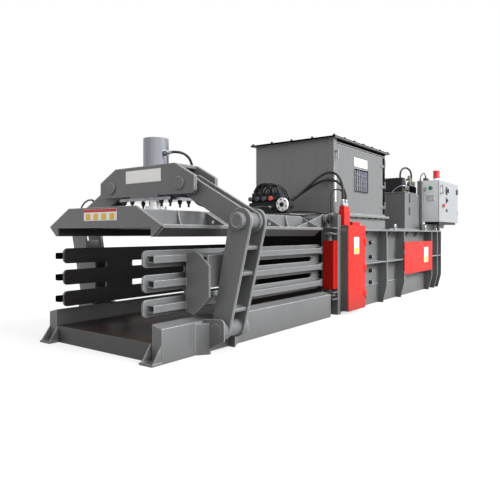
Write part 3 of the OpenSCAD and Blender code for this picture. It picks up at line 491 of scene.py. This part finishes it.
class BALER_OT_finishes(bpy.types.Operator):
    """Make every finish and give the CAD parts theirs"""

    bl_idname = "baler.finishes"
    bl_label = "Finishes"

    def execute(self, context):
        paint = context.scene.baler_paint
        grey, dark, red, pale, chamber, rubber, white = (tuple(getattr(paint, key)) for key in (
            "body", "dark", "signal", "cabinet", "chamber", "hose", "plate"))
        band, field = linear("#c8161c"), linear("#e8b92e")
        # Body: satin grey, with a darker copy as painted shade on the members under the floor and a lighter copy as
        # painted light on the hopper's sheets
        enamel("grey_enamel", grey)
        enamel("shaded_enamel", shade(grey, 0.28))
        enamel("hopper_enamel", shade(grey, 1.16))
        # Bale chamber: grey outside, rubbed down to dark scored steel inside
        enamel("wall_enamel_right", grey, inside=(0.0, 1.0, 0.0), chamber=chamber)
        enamel("wall_enamel_left", grey, inside=(0.0, -1.0, 0.0), chamber=chamber)
        enamel("roof_enamel", grey, inside=(0.0, 0.0, -1.0), chamber=chamber)
        # Tying guard and power unit: darker and duller, so they stand back from the body
        enamel("dark_enamel", dark)
        enamel("black_enamel", linear("#26272a"), 0.45, 0.2, shine=0.2)
        # Doors and hinge guards: a strong even red; on the guards a darker copy of it as painted shade, broken by rows
        # of holes
        enamel("red_enamel", red, 0.45, 0.12, shade(red, 1.25), shine=0.22)
        enamel("punched_red_enamel", shade(red, 0.72), 0.45, 0.12, red, shine=0.1, holes=0.034)
        # Cabinet: pale, dry powder coat, in a darker copy on the lit door and a lighter copy on the shaded shell:
        # painted shade and painted light that even out the two faces
        enamel("door_coat", shade(pale, 0.56), 0.5, 0.08, pale)
        enamel("cabinet_coat", shade(pale, 1.3), 0.5, 0.08, shade(pale, 1.4))
        # Plates: clean, smooth stove enamel in plain fields
        enamel("white_enamel", white, 0.3, 0.05, white)
        enamel("band_enamel", band, 0.3, 0.05, band)
        enamel("field_enamel", field, 0.3, 0.05, field)
        # Bare metal: scored plate, a drawn tube whose deep vertical streaks are partly drawing marks and partly painted
        # reflection bands, tool marks, zinc spangle, cast skin, bright chrome, dark oxide
        scraped("scraped_steel", chamber)
        # The barrel's deep vertical streaks paint reflection bands across the tube
        metal("drawn_barrel", "#90929a", 0.17, depth=0.6)
        metal("machined_steel", "#a9abae", 0.36, (25, 25, 250))
        metal("zinc_plated", "#b4b7bb", 0.4, (16.67,) * 3)
        metal("weathered_zinc", "#85837c", 0.5, (33.33,) * 3)
        metal("cast_aluminium", "#c9cbcd", 0.45, (45.45,) * 3)
        metal("chromed_rod", "#d4d6d8", 0.14, (1667, 20, 20), 0.08)
        metal("black_oxide", "#3a3b3d", 0.48, (16.67,) * 3)
        # Plastic, rubber and glass: dull black mouldings and seals, glossy coloured caps, a lens that glows through
        moulded("black_plastic", linear("#17181a"), 0.55, shine=0.12)
        moulded("seal_rubber", linear("#0b0b0d"), 0.9, shine=0.0)
        moulded("red_plastic", linear("#c81a1e"), 0.35, coat=0.3)
        moulded("green_plastic", linear("#14794a"), 0.35, coat=0.3)
        moulded("red_lens", linear("#ee2b38"), 0.22, 16.67, coat=0.5, clear=0.2)
        moulded("wired_glass", linear("#5d626e"), 0.2, 5, coat=0.6)
        wrapped_rubber("hose_cover", rubber)
        for finish, names in FINISH_OF_NODES.items():
            for name in names.split():
                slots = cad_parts[name].data.materials
                slots.clear()
                slots.append(bpy.data.materials[finish])
        return {"FINISHED"}


# Stage

EYE, LOOK, EYE_SHIFT = (-6.557, -3.756, 1.050), (0.803, 0.596), -0.032
SUN_WAY, SUN_SPREAD = (-0.20, 0.80, -0.56), math.radians(28)
BRIGHT_SIDE, SKY_BACK, SKY_FRONT = (0.25, -0.92, 0.3), 0.74, 1.48
FLOOR_HALF, FLOOR_Z = 60.0, -0.002
FLOOR_GLOW = 0.72  # share of plain white in the floor that the camera sees
FLOOR_BOUNCE = 0.2  # share of its tone that the floor throws back onto the machine


class BALER_OT_stage(bpy.types.Operator):
    """Set up the floor, the light and the photograph's camera"""

    bl_idname = "baler.stage"
    bl_label = "Stage"

    def execute(self, context):
        scene, stage = context.scene, context.scene.baler_stage
        scene.view_settings.view_transform = "Standard"
        mesh = bpy.data.meshes.new("studio_floor")
        mesh.from_pydata([(x * FLOOR_HALF, y * FLOOR_HALF, FLOOR_Z) for x, y in ((-1, -1), (1, -1), (1, 1), (-1, 1))],
                         [], [(0, 1, 2, 3)])
        floor = bpy.data.objects.new("studio_floor", mesh)
        scene.collection.objects.link(floor)
        node, _ = begin("studio_paper")
        rays = node("LightPath").outputs
        seen = node("Math", {0: rays["Is Camera Ray"], 1: rays["Is Glossy Ray"]}, operation="ADD")
        seen = node("Math", {0: seen, 1: rays["Is Transmission Ray"]}, operation="ADD", use_clamp=True)
        part = node("Math", {0: seen, 1: FLOOR_GLOW}, operation="MULTIPLY")
        pale = tuple(stage.floor)
        tone = node("Mix", {"Factor": seen, MIX_A: shade(pale, FLOOR_BOUNCE), MIX_B: pale})
        paper = node("BsdfDiffuse", {"Color": tone})
        glow = node("Emission", {"Color": (1, 1, 1, 1)})
        node("OutputMaterial", {"Surface": node("MixShader", {0: part, 1: paper, 2: glow})})
        mesh.materials.append(bpy.data.materials["studio_paper"])

        world = bpy.data.worlds.new("studio_sky")
        scene.world = world
        world.use_nodes = True
        world.node_tree.nodes.clear()
        node = partial(add, world.node_tree)
        rays = node("LightPath").outputs
        seen = node("Math", {0: rays["Is Camera Ray"], 1: rays["Is Transmission Ray"]}, operation="ADD", use_clamp=True)
        way = node("TexCoord").outputs["Object"]
        near = node("VectorMath", {0: way, 1: BRIGHT_SIDE}, operation="DOT_PRODUCT")
        level = node("MapRange", {"Value": near, IN_MIN: -0.5, IN_MAX: 0.9, OUT_MIN: SKY_BACK * stage.sky,
                                  OUT_MAX: SKY_FRONT * stage.sky})
        sky = node("Background", {"Color": (1.0, 0.985, 0.97, 1.0), "Strength": level})
        white = node("Background", {"Color": (1, 1, 1, 1), "Strength": 1.0})
        node("OutputWorld", {"Surface": node("MixShader", {0: seen, 1: sky, 2: white})})

        light = bpy.data.lights.new("side_sun", "SUN")
        light.energy, light.angle, light.color = stage.sun, SUN_SPREAD, (0.95, 0.98, 1.0)
        sun = bpy.data.objects.new("side_sun", light)
        sun.rotation_mode = "QUATERNION"
        sun.rotation_quaternion = Vector(SUN_WAY).to_track_quat("-Z", "Y")
        scene.collection.objects.link(sun)

        eye = bpy.data.cameras.new("photo_camera")
        eye.sensor_width, eye.lens, eye.shift_y = 36.0, stage.lens, EYE_SHIFT
        eye.clip_end = 300.0
        camera = bpy.data.objects.new("photo_camera", eye)
        camera.location = EYE
        camera.rotation_euler = (math.pi / 2, 0.0, math.atan2(-LOOK[0], LOOK[1]))
        scene.collection.objects.link(camera)
        scene.camera = camera
        return {"FINISHED"}


# Hoses

SQUEEZE_ROUTE = [
    (673, -170, 1850), (673, -212, 1850), (681, -254, 1849), (704, -290, 1845), (740, -314, 1835), (782, -324, 1815),
    (822, -322, 1786), (858, -312, 1746), (888, -296, 1696), (910, -276, 1638), (928, -254, 1576), (948, -232, 1514),
    (978, -210, 1458), (1026, -188, 1410), (1110, -165, 1370), (1210, -150, 1350), (1320, -135, 1340),
    (1440, -120, 1335), (1560, -105, 1335), (1680, -90, 1335), (1800, -80, 1335), (1920, -70, 1340), (2040, -60, 1350),
    (2160, -55, 1365), (2280, -50, 1380), (2400, -50, 1395), (2520, -50, 1400), (2640, -50, 1400)]
LOOP_A_ROUTE = [
    (2860, -60, 1420), (2920, -60, 1420), (2980, -80, 1445), (3030, -130, 1495), (3065, -200, 1560),
    (3095, -280, 1635), (3120, -365, 1710), (3145, -450, 1785), (3170, -540, 1845), (3195, -630, 1870),
    (3215, -710, 1840), (3230, -765, 1765), (3235, -790, 1670), (3235, -795, 1560), (3235, -795, 1445)]
LOOP_B_ROUTE = [
    (2860, 60, 1420), (2920, 60, 1420), (2980, 45, 1430), (3030, 0, 1460), (3070, -80, 1505), (3105, -170, 1565),
    (3130, -260, 1625), (3150, -350, 1680), (3170, -440, 1730), (3190, -530, 1765), (3215, -620, 1775),
    (3250, -705, 1745), (3290, -765, 1675), (3315, -795, 1570), (3315, -795, 1445)]
BEAM_ROUTE = [
    (2820, 180, 1360), (2870, 180, 1360), (2920, 168, 1360), (2962, 130, 1358), (2992, 70, 1355), (3012, 0, 1353),
    (3026, -80, 1352), (3038, -160, 1352), (3050, -240, 1352), (3064, -320, 1350), (3080, -400, 1344),
    (3098, -470, 1334), (3115, -535, 1322), (3126, -595, 1316), (3129, -650, 1314)]
# Across and up along the left link
GREASE_ROUTE = [(905, 1404), (935, 1422), (975, 1424), (1015, 1412), (1055, 1391), (1090, 1364), (1120, 1332),
                (1142, 1297), (1152, 1258)]
# Place along the block, the two ends across it, the height of the second end and the rise
VALVE_ARCHES = [
    (2705, 260, -70, 1600, 125), (2795, 260, 40, 1600, 95), (2732, 150, -240, 1494, 150), (2762, 40, -262, 1490, 135),
    (2790, 150, -70, 1600, 95), (2705, 40, -218, 1490, 150), (2752, 272, -84, 1600, 128), (2775, 278, 24, 1600, 103),
    (2718, 168, -252, 1493, 165), (2788, 56, -228, 1492, 150)]
COIL_TOP, SHELF_Z = 1600, 1314
# Crimped collar, as shares of the hose's radius and of the collar's length
COLLAR = [(1.30, 0.0), (1.34, 0.06), (1.34, 0.30), (1.18, 0.34), (1.18, 0.42), (1.26, 0.46), (1.26, 0.92), (1.06, 1.0)]
HOSE_STEPS = 14


def hose(name, points, diameter, guide, body="frame", node=None, moving=None, collar="black_oxide"):
    """A hose on a smooth path with a crimped steel collar at each end."""
    path = smooth(mm(points))
    length = np.concatenate([[0], np.cumsum(np.linalg.norm(np.diff(path, axis=0), axis=1))])
    around = np.tile(np.arange(HOSE_STEPS) / HOSE_STEPS, len(path))
    along = np.stack([around, np.repeat(length, HOSE_STEPS)], -1)
    made = piece(name, [tube(path, diameter / 2, guide, HOSE_STEPS)], "hose_cover", None, along=along)
    if moving:
        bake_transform(made)
    else:
        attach(made, body)
    if node:
        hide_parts(node)
    profile = np.array(COLLAR) * [diameter * 500, min(60.0, 2.2 * diameter * 1000)]
    collars = []
    for p, q, end_body in ((path[0], path[2], moving[0] if moving else body), (path[-1], path[-3], body)):
        at = (p - np.array([EXIT_X, 0, 0])) * 1000
        collars.append(piece(f"{name}_collar_{len(collars) + 1}", [turned(profile, at, q - p, 20)], collar, end_body))
    return made


class BALER_OT_hoses(bpy.types.Operator):
    """Lay the four main hoses in place of the CAD ones"""

    bl_idname = "baler.hoses"
    bl_label = "Main hoses"

    def execute(self, context):
        d = context.scene.baler_sizes.hose
        hose("squeeze_hose", SQUEEZE_ROUTE, d * 0.75, (0.3, 1, 0.2), node="hose_squeeze",
             moving=("crosshead", (1320, -135, 1340), (720, -260, 1850)), collar="zinc_plated")
        hose("loop_hose_a", LOOP_A_ROUTE, d, (0.9, 0.4, 0), node="hose_loop_a", collar="zinc_plated")
        hose("loop_hose_b", LOOP_B_ROUTE, d, (0.9, 0.4, 0), node="hose_loop_b", collar="zinc_plated")
        hose("tank_hose", hoop((6230, -480, 2000), (6480, -600, 1900), 2270), d, (0.43, 0.9, 0), node="hose_tank",
             collar="zinc_plated")
        return {"FINISHED"}


class BALER_OT_valve_hoses(bpy.types.Operator):
    """Lay the short hoses over the valve block, beside the twister motor, on the left link and behind the cabinet"""

    bl_idname = "baler.valve_hoses"
    bl_label = "Valve hoses"

    def execute(self, context):
        d = context.scene.baler_sizes.line
        for i, (x, y0, y1, z1, rise) in enumerate(VALVE_ARCHES):
            hose(f"valve_hose_{i + 1}", arch((x, y0, COIL_TOP), (x, y1, z1), rise), d, (1, 0, 0))
        a = np.linspace(0, math.pi / 2, 15)[:, None]
        for i, (x, z) in enumerate(((2712, 1432), (2770, 1405))):
            fall = np.array([x, 330, z]) + np.sin(a) * [0, 92, 0] + (1 - np.cos(a)) * [0, 0, SHELF_Z - z]
            hose(f"shelf_hose_{i + 1}", fall, d * 0.9, (1, 0, 0))
        hose("beam_hose", BEAM_ROUTE, d, (0, 0, 1))
        hose("motor_hose", hoop((3129, -678, 1328), (3275, -795, 1415), 1640), d, (0.62, 0.78, 0))
        bow = np.sin(np.linspace(0, math.pi, len(GREASE_ROUTE)))
        for i, (x, reach) in enumerate(((604, -26), (742, 26))):
            hose(f"grease_hose_{i + 1}", np.column_stack([x + reach * bow, GREASE_ROUTE]), d * 0.9, (1, 0, 0),
                 "left_link")
        hose("cabinet_hose", arch((6820, -655, 2060), (7125, -662, 2140), 118), d, (0, 1, 0))
        return {"FINISHED"}


# Fittings

# Faces that fittings sit on, in millimetres: along the machine, across it and up
FRONT_X, VALVE_X, FILTER_X, CABINET_X = 508, 2610, 2615.5, 7040
GUARD_Y, SERVICE_Y, DOOR_Y, HOPPER_Y, CABINET_Y = -900, -870, -642, -650, -944
RIM_Z, FLANGE_Z, LID_Z, FOOT_Z = 2363, 1297, 1805, 1374
SIDES = (-1, 1)


def blank_plate(name, low, high, axis, body, finish="white_enamel"):
    """A thin enamelled plate with rounded corners."""
    return piece(name, [slab(low, high, axis, 6, 0.8)], finish, body)


class BALER_OT_plates(bpy.types.Operator):
    """Fix the blank plates and plain colour fields"""

    bl_idname = "baler.plates"
    bl_label = "Blank plates"

    def execute(self, context):
        t = context.scene.baler_sizes.plate * 1000
        blank_plate("crosshead_plate", (FRONT_X - t, -246, 1550), (FRONT_X, 260, 1677), 0, "crosshead")
        blank_plate("roof_plate", (-t, -237, 1168), (0, 235, 1274), 0, "top_wall")
        blank_plate("roof_plate_band", (-t - 1, -235, 1246), (-t, 233, 1272), 0, "top_wall", "band_enamel")
        fields = [slab((-t - 1, y - 32, 1178), (-t, y + 32, 1232), 0, 3, 0.4) for y in (-172, -58, 56, 170)]
        piece("roof_plate_fields", fields, "field_enamel", "top_wall")
        y = GUARD_Y - t
        blank_plate("guard_plate", (3352, y, 782), (3509, GUARD_Y, 1010), 1, "guard_door")
        blank_plate("guard_plate_field", (3366, y - 1, 790), (3495, y, 868), 1, "guard_door", "field_enamel")
        y = SERVICE_Y - t
        blank_plate("service_plate", (6366, y, 538), (6599, SERVICE_Y, 812), 1, "service_door")
        blank_plate("service_plate_field", (6384, y - 1, 548), (6581, y, 640), 1, "service_door", "field_enamel")
        blank_plate("hopper_plate", (3909, DOOR_Y - t, 2030), (4375, DOOR_Y, 2160), 1, "hopper_door")
        blank_plate("corner_plate", (3284, HOPPER_Y - t, 1480), (3332, HOPPER_Y, 1872), 1, "frame")
        return {"FINISHED"}


class BALER_OT_hopper(bpy.types.Operator):
    """Add the stops, seals, painted shadow strips, window bars and flange bolts of the hopper"""

    bl_idname = "baler.hopper"
    bl_label = "Hopper fittings"

    def execute(self, context):
        size = context.scene.baler_sizes.bolt * 1000
        stops = [slab((x0, -632, z0), (x1, -604, z1), 1, 2, 1) for x0, x1, z0, z1 in (
            (3342, 5058, 2262, 2318), (3342, 5058, 1340, 1388), (3342, 3392, 1392, 2258), (5000, 5058, 1392, 2258))]
        piece("hopper_stops", stops, "dark_enamel")
        bars = [slab((x - 4, -652, 1676), (x + 4, -641.5, 1987), 1, 2, 1) for x in np.arange(3998, 4330, 75)]
        bars += [slab((3926, -650, z - 5), (4374, -641.5, z + 5), 1, 2, 1) for z in (1754, 1909)]
        piece("window_bars", bars, "dark_enamel", "hopper_door")
        trim = [slab((x, -654, 1665), (x + 11, -651, 1998), 1, 2, 1) for x in (3915, 4374)]
        trim += [slab((3915, -654, z), (4385, -651, z + 11), 1, 2, 1) for z in (1665, 1987)]
        piece("window_frame", trim, "seal_rubber", "hopper_door")
        gasket = [slab((3207, y0, 2356), (5153, y1, 2365), 2, 2, 1) for y0, y1 in ((-698, -694), (694, 698))]
        gasket += [slab((x0, -698, 2342), (x1, 698, 2364), 2, 2, 1) for x0, x1 in ((3207, 3209.8), (5150.2, 5153))]
        piece("rim_gasket", gasket, "seal_rubber")
        # Black rubber strips painted as shadow: in the gap at the door's free edge and under the rim's lip
        gap_shadow_strips = [slab((5042, -645, 1362), (5074, -639, 2279), 1, 2, 0.4),
                slab((3366, -645, 2312), (5074, -639, 2343), 1, 2, 0.4)]
        piece("door_gap_shadow", gap_shadow_strips, "seal_rubber")
        piece("door_edge_shadow", [slab((4984, -645, 1366), (5027, -641, 2275), 1, 2, 1)], "seal_rubber", "hopper_door")
        rim = [(x, y, RIM_Z) for x in (3236, 5124) for y in np.linspace(-668, 668, 5)]
        rim += [(x, y, RIM_Z) for x in np.linspace(3236, 5124, 7)[1:-1] for y in (-668, 668)]
        piece("rim_bolts", bolts(rim, (0, 0, 1), size * 1.3), "black_oxide")
        foot = [(x, y, FLANGE_Z) for x in np.linspace(3250, 5110, 9) for y in (-668, 668)]
        foot += [(x, y, FLANGE_Z) for x in (3243, 5117) for y in (-400, -130, 130, 400)]
        piece("flange_bolts", bolts(foot, (0, 0, -1), size * 1.2), "black_oxide")
        return {"FINISHED"}


class BALER_OT_bolts(bpy.types.Operator):
    """Add the cylinder bolts, pin caps, guide centres, valve caps and cover screws"""

    bl_idname = "baler.bolts"
    bl_label = "Bolts and caps"

    def execute(self, context):
        size = context.scene.baler_sizes.bolt * 1000
        feet = [(673 + x, y, FOOT_Z) for x in (-125, 125) for y in (-330, -210, 210, 330)]
        heads = bolts(feet, (0, 0, -1), size * 1.5)
        heads += [turned([(11, 20), (11, 58), (9, 61)], p, (0, 0, -1), 12) for p in feet]
        heads += [turned([(13, -1), (13, 29)], p, (0, 0, 1), 12) for p in feet]
        heads += bolts([(x, y, FOOT_Z + 28) for x, y, _ in feet if abs(y) > 305], (0, 0, 1), size * 1.5)
        piece("cylinder_bolts", heads, "black_oxide", "crosshead")
        caps = [turned([(56, 0), (56, 16), (50, 22), (20, 22), (18, 17)], (3031, s * 705, 1245), (0, s, 0))
                for s in SIDES]
        piece("roof_pin_caps", caps, "black_oxide")
        for side, s in zip(("right", "left"), SIDES):
            cap = turned([(70, 0), (70, 5), (64, 9), (52, 9), (50, 4)], (FRONT_X, s * 1155, 1160), (-1, 0, 0), 40)
            piece(f"{side}_elbow_cap", [cap], "grey_enamel", f"{side}_lever")
        guides = [turned([(15, 0), (15, 4), (11, 7), (6, 7), (5, 3)], (4304, s * 758, z), (0, s, 0), 20)
                  for s in SIDES for z in (330, 503, 710, 923)]
        piece("guide_centres", guides, "zinc_plated")
        y, z = -240, 1430
        a = np.arange(6) * TURN / 6 + 0.3
        screws = [part for c, s in zip(66 * np.cos(a), 66 * np.sin(a))
                  for part in bolt((FILTER_X, y + c, z + s), (-1, 0, 0), 16, False)]
        screws += [turned([(30, 0), (30, 10), (26, 14), (14, 14), (12, 6)], (FILTER_X, y, z), (-1, 0, 0), 28)]
        piece("filter_screws", screws, "black_oxide")
        cover = turned([(87, -22.5), (87, 0), (84, 2.5)], (FILTER_X + 2.5, y, z), (-1, 0, 0), 48)
        piece("filter_cover", [cover], "white_enamel")
        for name, finish, places in (("coil_cap_red", "red_plastic", (-70,)),
                                     ("coil_caps", "black_plastic", (40, 150, 260))):
            caps = [turned([(30, 0), (30, 9), (27, 12)], (VALVE_X, y, 1515), (-1, 0, 0), 28) for y in places]
            piece(name, caps, finish)
        plates = [slab((2962, y0, z), (3100, y1, z + 16), 2, 14, 2)
                  for y0, y1 in ((-800, -660), (660, 800)) for z in (205, 292, 1043, 1118)]
        piece("hinge_clevises", plates, "dark_enamel")
        block = [slab((3214, -826, 1415), (3346, -764, 1437), 2, 6, 3)]
        block += [turned([(30, 0), (30, 22), (25, 25)], (x, -795, 1437), (0, 0, 1), 12, 6) for x in (3235, 3315)]
        piece("motor_port_block", block, "zinc_plated")
        lid = [(x, y, LID_Z) for x in (6000, 6600) for y in np.linspace(-640, 640, 7)]
        lid += [(x, y, LID_Z) for x in (6200, 6400) for y in (-640, 640)]
        piece("lid_bolts", bolts(lid, (0, 0, 1), size * 0.8), "zinc_plated")
        return {"FINISHED"}


class BALER_OT_power_pack(bpy.types.Operator):
    """Add the oil cooler, the motor fins, the sight gauges, the screens, valves and pipes, and the hose block"""

    bl_idname = "baler.power_pack"
    bl_label = "Power pack fittings"

    def execute(self, context):
        cooler = [slab((6010, -600, LID_Z + 1), (6150, -230, 2062), 2, 8, 4)]
        cooler += [slab((6004, -588, z), (6156, -242, z + 7), 2, 3, 1) for z in range(1835, 2045, 18)]
        piece("oil_cooler", cooler, "black_enamel")
        # Motor fins: a circle whose radius steps out and in, carried along the motor
        count = 96
        a = np.arange(count) * TURN / count
        fin = 121 + 11 * (np.arange(count) % 4 < 2)
        rib = np.stack([6300 + fin * np.cos(a), np.zeros(count), 1957 + fin * np.sin(a)], -1)[::-1]
        piece("motor_fins", [lofted(mm(np.stack([rib + [0, y, 0] for y in (-140, 330)])))], "black_enamel")
        for i, (z0, z1) in enumerate(((1397, 1537), (1617, 1771))):
            gauge = slab((6212, -662, z0), (6262, -650, z1), 1, 8, 3)
            glass = slab((6226, -664.5, z0 + 18), (6248, -662, z1 - 18), 1, 6, 1)
            piece(f"sight_gauge_{i + 1}", [gauge], "black_plastic")
            piece(f"sight_glass_{i + 1}", [glass], "wired_glass")
        piece("valve_screen", [slab((6250, -654, LID_Z + 1), (6600, -640, 1925), 1, 6, 3)], "seal_rubber")
        bodies = [slab((6320, -638, 1936), (6436, -545, 2064), 2, 10, 5),
                  slab((6526, -638, 1925), (6600, -566, 2030), 2, 8, 5),
                  turned([(34, 0), (34, 14), (24, 18), (24, 56), (18, 62)], (6378, -592, 2064), (0, 0, 1), 24),
                  turned([(26, 0), (26, 20), (20, 26)], (6378, -638, 1995), (0, -1, 0), 24)]
        piece("relief_valves", bodies, "weathered_zinc")
        # Bypass pipe: a half circle on its side, with a straight end to each valve
        a = np.linspace(-math.pi / 2, math.pi / 2, 17)
        bend = np.stack([6212 - 74 * np.cos(a), np.full(17, -622.0), 1936 - 74 * np.sin(a)], -1)
        bend = np.concatenate([[(6322, -622, 2010)], bend, [(6256, -622, 1862)]])
        piece("bypass_pipe", [tube(mm(bend), 0.011, (0, 1, 0), 12)], "zinc_plated")
        drain = smooth(mm([
            (5994, -425, 1804), (5994, -440, 1830), (5994, -488, 1869), (5995, -545, 1900), (6004, -596, 1912),
            (6040, -628, 1914), (6100, -634, 1914), (6160, -634, 1912)]))
        piece("cooler_pipe", [tube(drain, 0.009, (0.6, 0, -0.8), 12)], "zinc_plated")
        piece("tank_screen", [slab((6600, -648, 1143), (6782, -640, 1790), 1, 3, 2)], "grey_enamel")
        # The apron under the cabinet takes the darker copy of the grey as painted shade, for the cabinet's shadow on it
        piece("stand_apron", [slab((6590, -760, 1117), (7480, -752, 1238), 1, 4, 2)], "shaded_enamel")
        piece("hose_block", [slab((3108, -706, 1300), (3150, -650, 1328), 2, 5, 3)], "zinc_plated")
        return {"FINISHED"}


class BALER_OT_cabinet(bpy.types.Operator):
    """Add the dot, vent, labels, connectors and beacon rings of the control cabinet"""

    bl_idname = "baler.cabinet"
    bl_label = "Cabinet fittings"

    def execute(self, context):
        dot = turned([(40, 0), (40, 4), (36, 7)], (CABINET_X, -782, 1937), (-1, 0, 0), 36)
        piece("cabinet_dot", [dot], "green_plastic")
        vent = [slab((CABINET_X - 6, -867, 1687), (CABINET_X, -696, 1821), 0, 5, 2)]
        vent += [slab((CABINET_X - 14, -857, z), (CABINET_X - 6, -706, z + 9), 0, 3, 2) for z in range(1699, 1805, 17)]
        piece("cabinet_vent", vent, "cabinet_coat")
        labels = [slab((x0, CABINET_Y - deep, z0), (x1, CABINET_Y, z1), 1, corner, bevel)
                  for x0, x1, z0, z1, deep, corner, bevel in (
                      (7500, 7580, 1488, 1546, 14, 4, 2), (8262, 8318, 1878, 1976, 26, 8, 5),
                      (7490, 7590, 1660, 1772, 3, 6, 1), (7470, 7610, 1822, 1984, 3, 8, 1))]
        piece("cabinet_labels", labels, "black_plastic", "cabinet_door")
        blocks = [slab((7062, -700, 2085), (7190, -632, 2140), 2, 6, 4),
                  slab((7230, -690, 2085), (7300, -640, 2120), 2, 6, 4)]
        piece("cabinet_connectors", blocks, "black_plastic")
        # Beacon: a lens with a rounded rib every 24 mm, on a pale base
        z = np.linspace(0, 144, 73)
        lens = np.stack([60.6 + 1.6 * np.abs(np.sin(z * math.pi / 24)), z], -1)
        piece("beacon_ribs", [turned(lens, (7170, -855, 2131), (0, 0, 1), 40)], "red_lens")
        base = turned([(55, 1), (55, 40), (52.5, 45.5)], (7170, -855, 2085), (0, 0, 1), 40)
        piece("beacon_base", [base], "white_enamel")
        return {"FINISHED"}


class BALER_OT_brackets(bpy.types.Operator):
    """Add the face plates of the lever brackets, the lifting rings and the black plugs of the left rails, whose black
    also paints the shade at the rails' ends
    """

    bl_idname = "baler.brackets"
    bl_label = "Brackets, rings and plugs"

    def execute(self, context):
        flat = np.array([(760, 60), (858, 43), (1031, 129), (1031, 280), (1025, 298), (1010, 312), (983, 318),
                         (760, 300)])
        faces = [prism(flat, 0, 493, 503), prism(flat[::-1] * [-1, 1], 0, 493, 503)]
        piece("bracket_faces", faces, "grey_enamel")
        rings = [ring((x, s * 826, 1163), (0, 1, 0), 39, 12.5) for x in (5060, 6600) for s in SIDES]
        piece("lifting_rings", rings, "zinc_plated")
        # Plugs on the far rails' ends; their black is painted shade over the shadowed open tube ends
        plugs = [slab((-30, 574, z - 30), (47, 652, z + 30), 0, 8, 4) for z in (424.5, 631.5, 838.5)]
        piece("rail_end_plugs_in_shade", plugs, "seal_rubber", "left_wall")
        return {"FINISHED"}


class BALER_OT_welds(bpy.types.Operator):
    """Run the weld beads along the ribs and flanges"""

    bl_idname = "baler.welds"
    bl_label = "Welds"

    def execute(self, context):
        r = context.scene.baler_sizes.weld
        runs = []
        for y in (-713, 713):
            runs += [bead([(x, y, 130), (x, y, 1088)], r, (1, 0, 0)) for x in (4609, 4629, 5380, 5400)]
            runs += [bead([(3750, y, z), (end_x, y, z)], r, (0, 0, 1)) for end_x, z in ((5360, 641), (7440, 1091))]
        piece("press_box_welds", runs, "grey_enamel")
        roof = [bead([(26, s * 547, 1131), (2550, s * 547, 1131)], r, (0, 0, 1)) for s in SIDES]
        roof += [bead([(25.5, s * 470, 1131), (25.5, s * 470, 1262)], r, (1, 0, 0)) for s in SIDES]
        piece("roof_welds", roof, "grey_enamel", "top_wall")
        return {"FINISHED"}


PANEL_OPERATORS = [BALER_OT_finishes, BALER_OT_stage, BALER_OT_hoses, BALER_OT_valve_hoses, BALER_OT_plates,
                   BALER_OT_hopper, BALER_OT_bolts, BALER_OT_power_pack, BALER_OT_cabinet, BALER_OT_brackets,
                   BALER_OT_welds]


class BALER_PT_looks(bpy.types.Panel):
    """Sidebar panel with the sizes, colours and steps of the press"""

    bl_idname = "BALER_PT_looks"
    bl_label = "Baling press"
    bl_space_type = "VIEW_3D"
    bl_region_type = "UI"
    bl_category = "Baler"

    def draw(self, context):
        for group in (context.scene.baler_paint, context.scene.baler_sizes, context.scene.baler_stage):
            for key in group.__annotations__:
                self.layout.prop(group, key)
        for step in PANEL_OPERATORS:
            self.layout.operator(step.bl_idname)


GROUPS = {"baler_paint": BalerPaint, "baler_sizes": BalerSizes, "baler_stage": BalerStage}


def register():
    for kind in (*GROUPS.values(), *PANEL_OPERATORS, BALER_PT_looks):
        bpy.utils.register_class(kind)
    for key, kind in GROUPS.items():
        setattr(bpy.types.Scene, key, bpy.props.PointerProperty(type=kind))


def unregister():
    for key in GROUPS:
        delattr(bpy.types.Scene, key)
    for kind in (BALER_PT_looks, *reversed(PANEL_OPERATORS), *GROUPS.values()):
        bpy.utils.unregister_class(kind)


def main():
    register()
    bpy.ops.baler.finishes()
    bpy.ops.baler.stage()
    bpy.ops.baler.hoses()
    bpy.ops.baler.valve_hoses()
    bpy.ops.baler.plates()
    bpy.ops.baler.hopper()
    bpy.ops.baler.bolts()
    bpy.ops.baler.power_pack()
    bpy.ops.baler.cabinet()
    bpy.ops.baler.brackets()
    bpy.ops.baler.welds()


if __name__ == "__main__":
    main()
